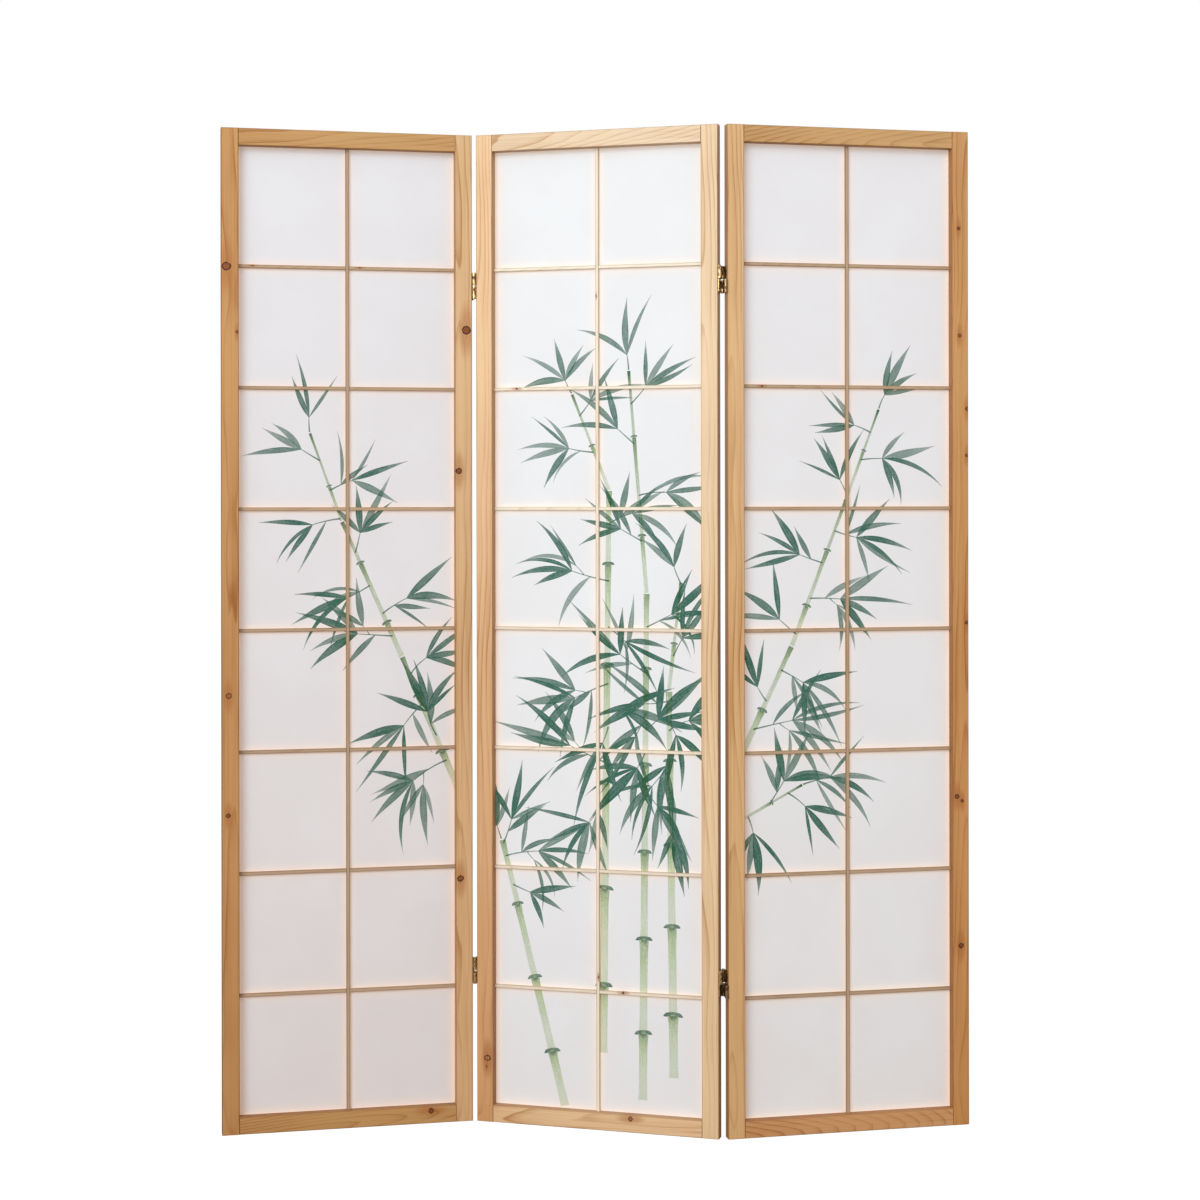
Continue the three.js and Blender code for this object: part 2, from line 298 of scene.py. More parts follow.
def mix(factor, first, second, blend="MIX"):
    """One colour laid over another. On colours, the node's sockets are 0, 6 and 7, and 2 comes out."""
    tree = next(value.tree for value in (factor, first, second) if isinstance(value, Wire))
    inputs = {0: factor, 6: first, 7: second}
    return out(add(tree, "ShaderNodeMix", inputs, data_type="RGBA", blend_type=blend), 2)


def multiply(first, second):
    """One colour multiplied by another."""
    return mix(1.0, first, second, "MULTIPLY")


def spread(value, low, high, start=0.0, end=1.0):
    """A number's range from low to high, eased into the range from start to end."""
    inputs = {"Value": value, "From Min": low, "From Max": high, "To Min": start, "To Max": end}
    return out(add(value.tree, "ShaderNodeMapRange", inputs, interpolation_type="SMOOTHSTEP"))


def mottle(place, cells, detail, output="Fac", **inputs):
    """Noise with a given number of cells to the metre along each axis."""
    inputs |= {"Vector": place * cells, "Scale": 1.0, "Detail": detail}
    return out(add(place.tree, "ShaderNodeTexNoise", inputs), output)


def split(value, kind="XYZ"):
    """The three parts of a place or, where the kind is Color, of a colour."""
    return [Wire(socket) for socket in add(value.tree, f"ShaderNodeSeparate{kind}", {0: value}).outputs]


def object_place(tree):
    """The place on a piece, in metres, which goes with the piece."""
    return out(add(tree, "ShaderNodeTexCoord"), "Object")


def roughen(shader, strength, distance, height):
    """A fine relief on a material."""
    inputs = {"Strength": strength, "Distance": distance, "Height": height}
    feed(shader, {"Normal": out(add(shader.id_data, "ShaderNodeBump", inputs))})


def new_group(name, inputs, outputs):
    """An empty shader group: its tree, the wires from its inputs and its output node.

    An input's kind follows from its default: a number, a place of three or a colour of four.
    """
    tree = bpy.data.node_groups.new(name, "ShaderNodeTree")
    for socket, default in inputs.items():
        size = len(default) if isinstance(default, tuple) else 1
        kind = {1: "Float", 3: "Vector", 4: "Color"}[size]
        made = tree.interface.new_socket(name=socket, in_out="INPUT", socket_type=f"NodeSocket{kind}")
        made.default_value = default
    for socket in outputs:
        kind = "NodeSocketColor" if socket == "Color" else "NodeSocketFloat"
        tree.interface.new_socket(name=socket, in_out="OUTPUT", socket_type=kind)
    source = tree.nodes.new("NodeGroupInput")
    return tree, {socket: out(source, socket) for socket in inputs}, tree.nodes.new("NodeGroupOutput")


def place_group(tree, name, make, inputs):
    """A shader group used in a material. The group is made when it is first needed."""
    node = add(tree, "ShaderNodeGroup", node_tree=bpy.data.node_groups.get(name) or make())
    feed(node, inputs)
    return node


def new_material(name):
    """A material with a bare Principled shader. Returns the material, its tree and the shader."""
    material = bpy.data.materials.new(name)
    material.use_nodes = True
    return material, material.node_tree, material.node_tree.nodes["Principled BSDF"]


def wear(node, material):
    """Gives a CAD node's object one material."""
    piece = frame["nodes"][node]
    piece.data.materials.clear()
    piece.data.materials.append(material)


def rgba(colour):
    """A colour setting as a shader's colour value."""
    return (*colour[:3], 1.0)


# ------------------------------------------------------------------ softwood


HEART_REACH = (0.026, 0.026, 0.0)  # how far the pith wanders, in metres
# Noise cells to the metre: two ways across the grain, then along it
HEART_DRIFT = (9, 9, 2.2)
RING_DRIFT = (40, 40, 3)
FIBRES = (900, 900, 11)
STREAKS = (260, 260, 1.6)
PATCHES = (26, 26, 3.0)
RAGGED = (260, 260, 260)

# How dark a growth ring is, from the start of the early wood to the end of the late wood
RING_STOPS = ((0.55, 0.12), (0.82, 0.46), (0.93, 1.0), (0.965, 0.90))
RING_PALEST = 0.05

WHITE = (1, 1, 1, 1)
KNOT_DARK = (0.13, 0.034, 0.009, 1)
KNOT_PALE = (0.32, 0.105, 0.030, 1)
KNOT_RIM = (0.034, 0.006, 0.002, 1)
KNOT_RINGS = 22.0
CRACK = (0.15, 0.045, 0.014, 1)
RESIN = (0.44, 0.15, 0.038, 1)
EDGE_SHADE = (0.42, 0.30, 0.22, 1)  # painted shade: what the wood's colour is multiplied by along an edge and at a joint
LATE_WOOD_LOSS = (0.36, 0.52, 0.66)  # how much less red, green and blue late wood has


def make_grain_group():
    """Softwood sawn from a log: growth rings about a pith, fine fibres, and slow changes of tone.

    Board is the place in the board, with z along the grain. Pith is where the log's heart passes the
    board's middle, and Slope is how fast it leaves. Push moves the rings aside, as a knot does.
    """
    tree, given, result = new_group(
        "Softwood grain",
        {
            "Board": (0, 0, 0),
            "Pith": (0.02, 0.05, 0),
            "Slope": (0.0, 0.02, 0),
            "Push": 0.0,
            "Ring Spacing": 2.6 * MM,
            "Pale": (0.8, 0.6, 0.4, 1),
            "Deep": (0.6, 0.35, 0.15, 1),
        },
        ("Color", "Late Wood", "Height"),
    )
    board = given["Board"]
    # The pith wanders along the log, so rings run out of the face in long tongues.
    drift = mottle(board, HEART_DRIFT, 1.5, "Color") - (0.5, 0.5, 0.5)
    _, _, up_grain = split(board)
    heart = up_grain * given["Slope"] + given["Pith"]
    across = (drift * HEART_REACH + board - heart) * (1, 1, 0)
    turns = (calc("LENGTH", across) + given["Push"]) / given["Ring Spacing"]
    late = add(tree, "ShaderNodeValToRGB")
    feed(late, {"Fac": calc("FRACT", mottle(board, RING_DRIFT, 1.0) * 1.3 + turns)})
    for stop in late.color_ramp.elements:
        stop.color = (RING_PALEST, RING_PALEST, RING_PALEST, 1)
    for position, value in RING_STOPS:
        late.color_ramp.elements.new(position).color = (value, value, value, 1)
    ring = out(late, "Color")
    fibre = mottle(board, FIBRES, 3.0, Roughness=0.6)
    streak = mottle(board, STREAKS, 3.0, Roughness=0.6)
    patch = mottle(board, PATCHES, 3.0)
    # Rings are strong in some stretches of a board and faint in others.
    tone = ring * spread(patch, 0.3, 0.72, 0.34, 0.86)
    for noise, weight in ((fibre, 0.50), (streak, 0.85), (patch, 0.85)):
        tone = (noise - 0.5) * weight + tone
    colour = mix(spread(tone, -0.40, 1.15), given["Pale"], given["Deep"])
    feed(result, {"Color": colour, "Late Wood": ring, "Height": ring * 0.35 + fibre})
    return tree


def make_knot_group():
    """One knot through a board: its dark round end, the halo of resin, and how it bends the rings.

    Dark is how strongly its dark inside shows, from 0 to 1.
    """
    tree, given, result = new_group(
        "Knot",
        {
            "Board": (0, 0, 0),
            "Centre": (0, 0, 0),
            "Radius": 4 * MM,
            "Dark": 1.0,
            "Wood": (0.7, 0.5, 0.3, 1),
            "Push": 0.0,
        },
        ("Color", "Push"),
    )
    board, radius = given["Board"], given["Radius"]
    offset = board - given["Centre"]
    ragged = mottle(board, RAGGED, 2.0)
    size = calc("LENGTH", offset * (0.95, 0, 1.05)) * (ragged * 0.5 + 0.75) / radius
    reach = calc("LENGTH", offset * (1, 0, 0.30)) / radius
    core = spread(size, 1.04, 0.9)
    rim = spread(size, 0.66, 0.88) * spread(size, 1.16, 1.02)
    halo = spread(reach, 2.6, 0.9) * 0.55
    rings = calc("SINE", size * KNOT_RINGS)
    inner = mix(spread(rings, -1.0, 1.0), KNOT_DARK, KNOT_PALE)
    # Dry cracks run along the grain, above and below it.
    x, _, z = split(offset)
    bent = (ragged - 0.5) * (1.6 * MM) + x
    thin = spread(calc("ABSOLUTE", bent), 0.7 * MM, 0.1 * MM, 0.0, 0.75)
    crack = thin * spread(calc("ABSOLUTE", z) / radius, 2.6, 1.0)
    colour = mix(halo, given["Wood"], RESIN)
    colour = mix(crack, colour, CRACK)
    colour = mix(core * given["Dark"], colour, inner)
    colour = mix(rim * 0.94, colour, KNOT_RIM)
    bulge = spread(reach, 3.6, 0.0) * radius * 1.5
    feed(result, {"Color": colour, "Push": bulge + given["Push"]})
    return tree


def make_edge_shade_group():
    """Painted shade along a board's long edges and at its ends, where arrises and joints fall into
    shade, and a drift of tone from foot to head.
    """
    tree, given, result = new_group(
        "Board edges",
        {
            "Board": (0, 0, 0),
            "Half Width": 15 * MM,
            "Half Length": 200 * MM,
            "Side": 0.4,
            "End": 0.8,
            "Head": WHITE,
            "Foot": WHITE,
            "Wood": (0.7, 0.5, 0.3, 1),
        },
        ("Color",),
    )
    x, _, z = split(given["Board"])
    share = calc("MULTIPLY_ADD", z / given["Half Length"], 0.5, 0.5, clamp=True)
    wood = multiply(given["Wood"], mix(share, given["Foot"], given["Head"]))
    from_side = given["Half Width"] - calc("ABSOLUTE", x)
    from_end = given["Half Length"] - calc("ABSOLUTE", z)
    # Painted shade along the arrises and at the board's ends
    side = spread(from_side, 1.6 * MM, 0.6 * MM) * given["Side"]
    end = spread(from_end, 1.9 * MM, 0.9 * MM) * given["End"]
    feed(result, {"Color": mix(calc("MAXIMUM", side, end), wood, multiply(wood, EDGE_SHADE))})
    return tree


# A board lies with its grain up the leaf or across it. The rotation takes the board's own frame, with
# z along the grain, to the leaf's.
UPRIGHT = Matrix.Identity(3)
LYING = Matrix(((0, 0, 1), (0, -1, 0), (1, 0, 0)))
UPRIGHT_LEAN = 0.012  # how far at most the pith leans from the grain, as a slope
LYING_LEAN = 0.15
PITH_ASIDE = 0.03  # how far at most the pith lies to the side of a board's middle
PITH_DEPTH = (0.03, 0.08)  # and how far behind it
BOARD_VARIETY = (0.98, 1.02)  # how much a board's tone differs by chance
STRIP_VARIETY = (0.95, 1.05)  # and how much more that of a lattice bar does
FRAME_SEED = 11
LATTICE_SEED = 23


class Board:
    """One board of a leaf: where it is, how its grain lies, and the log it was sawn from."""

    def __init__(self, node, tone, rng):
        self.node = node
        self.leaf = leaf_of(node)
        low, high = extents(node, self.leaf)
        self.centre = (low + high) / 2
        size = high - low
        upright = "stile" in node or "upright" in node
        self.lie = UPRIGHT if upright else LYING
        self.half_width = (size.x if upright else size.z) / 2
        self.half_length = (size.z if upright else size.x) / 2
        self.pale = tinted(tone, (rng.uniform(*BOARD_VARIETY),) * 3)
        self.pith = (rng.uniform(-PITH_ASIDE, PITH_ASIDE), rng.uniform(*PITH_DEPTH), 0)
        lean = UPRIGHT_LEAN if upright else LYING_LEAN
        self.slope = (rng.uniform(-lean, lean), rng.uniform(-lean, lean), 0)
        self.head, self.foot = BOARD_DRIFTS.get(node, ((1, 1, 1), (1, 1, 1)))
        middle = self.centre.z if upright else self.centre.x
        self.knots = [
            ((across * MM, 0, place * MM - middle), radius * MM, dark)
            for across, place, radius, dark in KNOTS_MM.get(node, ())
        ]


def tinted(colour, tint):
    """A colour with each channel scaled."""
    return tuple(min(0.95, channel * scale) for channel, scale in zip(colour, tint))


def deeper(colour, amount):
    """The colour of the late wood that goes with a pale early wood."""
    return tuple(channel * (1 - amount * loss) for channel, loss in zip(colour, LATE_WOOD_LOSS))


def make_wood(board, roughness, contrast, side, end):
    """Softwood for one board.

    contrast is how strongly the late wood shows. side and end are how dark its long edges and its ends
    are, as painted shade along the arrises and in the joints.
    """
    material, tree, shader = new_material(board.node)
    leaf = LEAVES[board.leaf]
    frame_of_board = {
        "Vector": object_place(tree),
        "Location": leaf @ board.centre,
        "Rotation": (leaf.to_3x3() @ board.lie).to_euler(),
    }
    place = out(add(tree, "ShaderNodeMapping", frame_of_board, vector_type="TEXTURE"))
    push, placed = 0.0, []
    for centre, radius, dark in board.knots:
        knot = {"Board": place, "Centre": centre, "Radius": radius, "Dark": dark, "Push": push}
        placed.append(place_group(tree, "Knot", make_knot_group, knot))
        push = out(placed[-1], "Push")
    log = {
        "Board": place,
        "Pith": board.pith,
        "Slope": board.slope,
        "Push": push,
        "Ring Spacing": bpy.context.scene.screen_wood.ring_spacing,
        "Pale": rgba(board.pale),
        "Deep": rgba(deeper(board.pale, contrast)),
    }
    grain = place_group(tree, "Softwood grain", make_grain_group, log)
    colour = out(grain, "Color")
    for node in placed:
        feed(node, {"Wood": colour})
        colour = out(node, "Color")
    sawn = {
        "Board": place,
        "Half Width": board.half_width,
        "Half Length": board.half_length,
        "Side": side,
        "End": end,
        "Head": rgba(board.head),
        "Foot": rgba(board.foot),
        "Wood": colour,
    }
    edges = place_group(tree, "Board edges", make_edge_shade_group, sawn)
    gloss = spread(out(grain, "Late Wood"), 0.0, 1.0, roughness + 0.06, roughness - 0.06)
    feed(shader, {"Base Color": out(edges), "Roughness": gloss, "Specular IOR Level": 0.25})
    roughen(shader, 0.35, 0.12 * MM, out(grain, "Height"))
    return material


# Knots of the frames, in millimetres: across from the board's middle line, height above the floor or
# distance right of the leaf's middle, and radius. Then how dark they are inside, from 0 to 1
KNOTS_MM = {
    "left_panel_left_stile": (
        (-6.0, 1509, 7.0, 0.85), (12.5, 1395, 2.6, 1), (-3.0, 763, 4.6, 0.5), (-4.0, 555, 3.8, 1),
    ),
    "left_panel_right_stile": ((5.0, 1404, 7.1, 1.0), (-9.0, 1154, 5.2, 1), (-7.0, 431, 5.2, 0.9)),
    "left_panel_bottom_rail": ((7.0, 145, 4.4, 1),),
    "middle_panel_left_stile": ((4.5, 113, 5.2, 0.25), (3.0, 98, 1.2, 1)),
    "middle_panel_bottom_rail": ((9.0, 62, 3.8, 0.7),),
    "right_panel_right_stile": (
        (-3.0, 1580, 3.0, 1), (-1.0, 1391, 3.4, 0.8), (-7.0, 579, 3.8, 0.9), (2.5, 571, 2.8, 1),
        (0.0, 316, 4.4, 1), (13.0, 1262, 3.6, 1), (12.0, 1180, 3.0, 1), (11.0, 885, 3.0, 1),
    ),
    "middle_panel_cross_bar_1": ((1.0, 46, 1.9, 1),),
    "middle_panel_upright_bar": ((1.0, 265, 1.4, 1), (-1.5, 1460, 1.2, 1)),
    "middle_panel_cross_bar_6": ((0.5, -148, 1.6, 1),),
    "right_panel_cross_bar_6": ((0.5, -155, 1.5, 1),),
    "left_panel_cross_bar_7": ((1.5, -165, 1.6, 1), (1.5, 22, 1.4, 1)),
}


# How each frame member's tone differs from its leaf's. It was fitted member by member, so it holds both
# the boards' own differences and painted light and shade, such as the paler, bluer tints of the middle
# leaf's top rail and right stile, which paint a sheen.
BOARD_TINTS = {
    "left_panel_left_stile": (0.86, 0.72, 0.53),
    "left_panel_right_stile": (1.07, 1.10, 1.11),
    "left_panel_bottom_rail": (0.90, 0.80, 0.59),
    "left_panel_top_rail": (0.91, 0.84, 0.66),
    "middle_panel_left_stile": (1.04, 0.98, 0.91),
    "middle_panel_right_stile": (1.12, 1.21, 1.29),
    "middle_panel_bottom_rail": (1.11, 1.10, 1.08),
    "middle_panel_top_rail": (1.12, 1.26, 1.49),
    "right_panel_left_stile": (1.09, 1.08, 1.04),
    "right_panel_right_stile": (0.96, 0.81, 0.59),
    "right_panel_bottom_rail": (1.05, 0.91, 0.78),
    "right_panel_top_rail": (0.94, 0.90, 0.77),
}

# How a stile's tone drifts along it: what its colour is multiplied by at its head, and at its foot
BOARD_DRIFTS = {
    "left_panel_left_stile": ((1.08, 1.12, 1.15), (0.94, 0.91, 0.87)),
    "left_panel_right_stile": ((1.05, 1.10, 1.16), (0.98, 0.94, 0.91)),
    "middle_panel_left_stile": ((1.16, 1.24, 1.36), (0.82, 0.66, 0.52)),
    "middle_panel_right_stile": ((1.04, 1.06, 1.12), (0.97, 0.92, 0.86)),
    "right_panel_left_stile": ((1.07, 1.11, 1.14), (1.02, 1.00, 0.93)),
    "right_panel_right_stile": ((1.00, 1.02, 1.09), (0.96, 0.88, 0.76)),
}


class SCREEN_OT_finish_frames(bpy.types.Operator):
    """Give every stile and rail its own board of knotty softwood"""

    bl_idname = "screen.finish_frames"
    bl_label = "Finish frames"

    def execute(self, context):
        wood = context.scene.screen_wood
        rng = random.Random(FRAME_SEED)
        for node, tint in BOARD_TINTS.items():
            # The middle leaf's boards are painted paler, as lit, and the side leaves' darker, as shaded.
            tone = wood.middle_lit_tone if node.startswith("middle") else wood.side_shaded_tone
            board = Board(node, tinted(tone, tint), rng)
            # Painted shade: a rail's ends darken where its joints with the stiles fall into shade, and
            # every long edge darkens along its arris.
            end = 0.85 if "rail" in node else 0.3
            wear(node, make_wood(board, roughness=0.5, contrast=1.18, side=0.65, end=end))
        return {"FINISHED"}


class SCREEN_OT_finish_lattice(bpy.types.Operator):
    """Give every lattice bar its own strip of pale softwood"""

    bl_idname = "screen.finish_lattice"
    bl_label = "Finish lattice"

    def execute(self, context):
        wood = context.scene.screen_wood
        rng = random.Random(LATTICE_SEED)
        for node in frame["nodes"]:
            if "_bar" in node:
                middle = node.startswith("middle")
                # The middle leaf's bars are painted paler, as lit, and the side leaves' darker, as
                # shaded.
                tone = wood.middle_lattice_lit_tone if middle else wood.side_lattice_shaded_tone
                board = Board(node, tinted(tone, (rng.uniform(*STRIP_VARIETY),) * 3), rng)
                # Painted shade along the bars' edges and at their ends
                wear(node, make_wood(board, roughness=0.58, contrast=0.5, side=0.5, end=0.5))
        return {"FINISHED"}


# ------------------------------------------------------------------ the print on the paper
# The print is drawn in millimetres on the sheet: x across from the leaf's middle, z up from the floor.
# It is a stand of canes with their twigs and leaves, in ink strokes.


BRUSH_RUN = 900  # millimetres of streaks, from which each mark takes its own stretch


class Stroke:
    """One mark of the brush: a spine, a half width along it, and how dense its ink and wash are."""

    def __init__(self, spine, half_width, ink, wash, offset):
        self.spine = spine
        self.half_width = half_width
        self.ink = ink
        self.wash = wash
        self.offset = offset
        steps = [(b - a).length for a, b in zip(spine, spine[1:])]
        self.lengths = [sum(steps[:n]) for n in range(len(spine))]

    def outline(self):
        """The mark's edge, going round to the left."""
        left, right = [], []
        last = len(self.spine) - 1
        for n, point in enumerate(self.spine):
            ahead = self.spine[min(n + 1, last)] - self.spine[max(n - 1, 0)]
            side = Vector((-ahead.y, ahead.x)).normalized()
            half = self.half_width(n / last)
            left.append(point + side * half)
            right.append(point - side * half)
        return right + left[::-1]

    def measure(self, point):
        """How far along a point is, from 0 to 1 and in mm, and how far to the side in mm."""
        best = None
        last = len(self.spine) - 1
        for n, (a, b) in enumerate(zip(self.spine, self.spine[1:])):
            step = b - a
            share = max(0.0, min(1.0, (point - a).dot(step) / step.length_squared))
            foot = a + step * share
            gap = (point - foot).length
            if best is None or gap < best[0]:
                side = (point - foot).dot(Vector((-step.y, step.x)).normalized())
                best = (gap, (n + share) / last, self.lengths[n] + share * step.length, side)
        return best[1:]


def along(values, share):
    """A value read off a short list that is spread evenly from 0 to 1."""
    place = share * (len(values) - 1)
    n = min(int(place), len(values) - 2)
    return values[n] + (values[n + 1] - values[n]) * (place - n)


def bent_line(start, heading, length, bend, steps):
    """A line that leaves start at a heading and turns evenly by bend on its way."""
    points = [Vector(start)]
    for n in range(steps):
        angle = heading + bend * (n + 0.5) / steps
        points.append(points[-1] + Vector((math.cos(angle), math.sin(angle))) * length / steps)
    return points


def leaf_stroke(rng, start, heading, length, width, bend, tone):
    """A bamboo leaf: a thin neck, widest a third of the way up, and a long point."""

    def half_width(share):
        return 0.28 + 0.5 * width * math.sin(math.pi * share**0.74) ** 1.35

    tip = tone * rng.uniform(0.40, 0.85)
    ink = [tone * 0.95, tone, tone, tone * 0.97, tone * 0.88, tip]
    spine = bent_line(start, heading, length, bend, 14)
    return Stroke(spine, half_width, ink, [0.12, 0.08], rng.uniform(0, BRUSH_RUN))


def twig_stroke(rng, start, heading, length, width, bend):
    """A thin twig that tapers to its end."""

    def half_width(share):
        return 0.5 * width * (1 - 0.55 * share)

    spine = bent_line(start, heading, length, bend, 6)
    return Stroke(spine, half_width, [0.85, 0.8], [0.2, 0.2], rng.uniform(0, BRUSH_RUN))


def internode_stroke(rng, foot, top, width, ink):
    """A stretch of cane, darkest and widest just under the joint above it."""

    def half_width(share):
        flare = 0.16 * max(0.0, share - 0.86) / 0.14 + 0.05 * max(0.0, 0.08 - share) / 0.08
        return 0.5 * width * (1 + flare - 0.07 * math.sin(math.pi * share))

    spine = [foot.lerp(top, n / 10) for n in range(11)]
    inks = [ink * 0.5, ink * 0.45, ink * 0.6, ink * 0.9, ink * 1.0 + 0.28]
    washes = [0.62, 0.55, 0.7, 0.88, 1.0]
    return Stroke(spine, half_width, inks, washes, rng.uniform(0, BRUSH_RUN))


def joint_strokes(rng, place, heading, width):
    """The cap over a cane's joint: a shallow bow with heavy ends, and a small knob under it."""
    span = width * rng.uniform(2.0, 2.3)
    side = heading - math.pi / 2
    tilt = rng.uniform(-0.06, 0.06)
    lift = Vector((math.cos(heading), math.sin(heading)))
    run = Vector((math.cos(side + tilt), math.sin(side + tilt)))

    def half_width(share):
        ends = sum(0.55 * math.exp(-(((share - end) / 0.12) ** 2)) for end in (0.16, 0.84))
        return 0.4 + width * 0.26 * (math.sin(math.pi * share) ** 0.5) * (0.55 + ends)

    bow = []
    for n in range(13):
        rise = width * (0.34 * math.sin(math.pi * n / 12) - 0.12)
        bow.append(place + run * span * (n / 12 - 0.5) + lift * rise)
    cap = Stroke(bow, half_width, [0.92, 0.70, 0.92], [0.5, 0.5], rng.uniform(0, BRUSH_RUN))
    knob_foot = place - lift * width * 0.62
    knob = Stroke(
        [knob_foot.lerp(place, n / 5) for n in range(6)],
        lambda share: width * (0.16 + 0.36 * share),
        [0.2, 0.55, 0.8],
        [0.6, 0.6],
        rng.uniform(0, BRUSH_RUN),
    )
    return [knob, cap]


# How the leaves on one twig end spread, in radians from the twig's heading, by their number
FANS = {
    1: (0.1,),
    2: (-0.20, 0.40),
    3: (-0.55, -0.02, 0.46),
    4: (-0.80, -0.30, 0.12, 0.66),
    5: (-1.05, -0.58, -0.14, 0.34, 0.92),
}


def cluster(rng, start, heading, count, length, tone):
    """Leaves that open like a fan from the end of a twig, the middle ones longest."""
    strokes = []
    for fan in FANS[count]:
        angle = heading + fan + rng.uniform(-0.17, 0.17)
        size = length * rng.uniform(0.75, 1.15) * (1.0 - 0.20 * abs(fan))
        slimness = rng.choice((0.060, 0.090, 0.115, 0.135))
        size *= 1.35 - 2.8 * slimness
        sweep = 1.6 - 7 * slimness
        droop = sweep * (rng.uniform(-0.42, 0.42) - math.cos(angle) * rng.uniform(0.05, 0.85))
        density = tone * rng.choice((0.82, 0.93, 1.0, 1.0))
        strokes.append(leaf_stroke(rng, start, angle, size, size * slimness, droop, density))
    return strokes


def spray(rng, start, heading, reach, size, tone, droop=0.0):
    """A side shoot: a twig with a fan of leaves at its end and smaller ones on the way."""
    bend = rng.uniform(-0.3, 0.3) - droop
    strokes = [twig_stroke(rng, start, heading, reach, 2.8, bend)]
    line = bent_line(start, heading, reach, bend, 6)
    tip = heading + bend
    side = rng.choice((-1, 1))
    if reach > 40:
        fork = tip + side * rng.uniform(0.5, 0.9)
        strokes += cluster(rng, line[3], fork, rng.choice((1, 2)), size * 0.85, tone * 0.9)
    if reach > 55:
        fork = tip - side * rng.uniform(0.5, 1.0)
        end = bent_line(line[4], fork, reach * 0.3, 0.2 * side, 3)
        strokes.append(twig_stroke(rng, line[4], fork, reach * 0.3, 1.8, 0.2 * side))
        strokes += cluster(rng, end[-1], fork, rng.choice((2, 3)), size * 0.8, tone * 0.9)
    return strokes + cluster(rng, line[-1], tip, rng.choice((3, 4, 4, 5)), size, tone)


JOINT_GAP = 2  # bare paper at each joint of a cane, in millimetres
CANE_TAPER = 0.42


def cane(rng, foot, top, width, joints, ink):
    """A cane from foot to top: its stretches between joints, and the caps over them."""
    axis = top - foot
    heading = math.atan2(axis.y, axis.x)
    gap = axis.normalized() * JOINT_GAP
    strokes = []
    shares = [(n + rng.uniform(0.55, 0.75)) / (joints + 0.4) for n in range(joints)]
    for a, b in zip([0.0] + shares, shares + [1.0]):
        thick = width * (1 - CANE_TAPER * (a + b) / 2)
        stretch = (foot + axis * a, foot + axis * b - gap)
        strokes.append(internode_stroke(rng, *stretch, thick, ink * (0.4 + a)))
    for share in shares:
        thick = width * (1 - CANE_TAPER * share)
        strokes += joint_strokes(rng, foot + axis * share, heading, thick)
    return strokes


def grow(rng, canes, shoots):
    """A leaf's print from its canes and its shoots, canes first, so that the foliage lies over them."""
    strokes = []
    for foot, top, width, joints, ink in canes:
        strokes += cane(rng, Vector(foot), Vector(top), width, joints, ink)
    for start, degrees, reach, size, tone, droop in shoots:
        strokes += spray(rng, Vector(start), math.radians(degrees), reach, size, tone, droop)
    return strokes


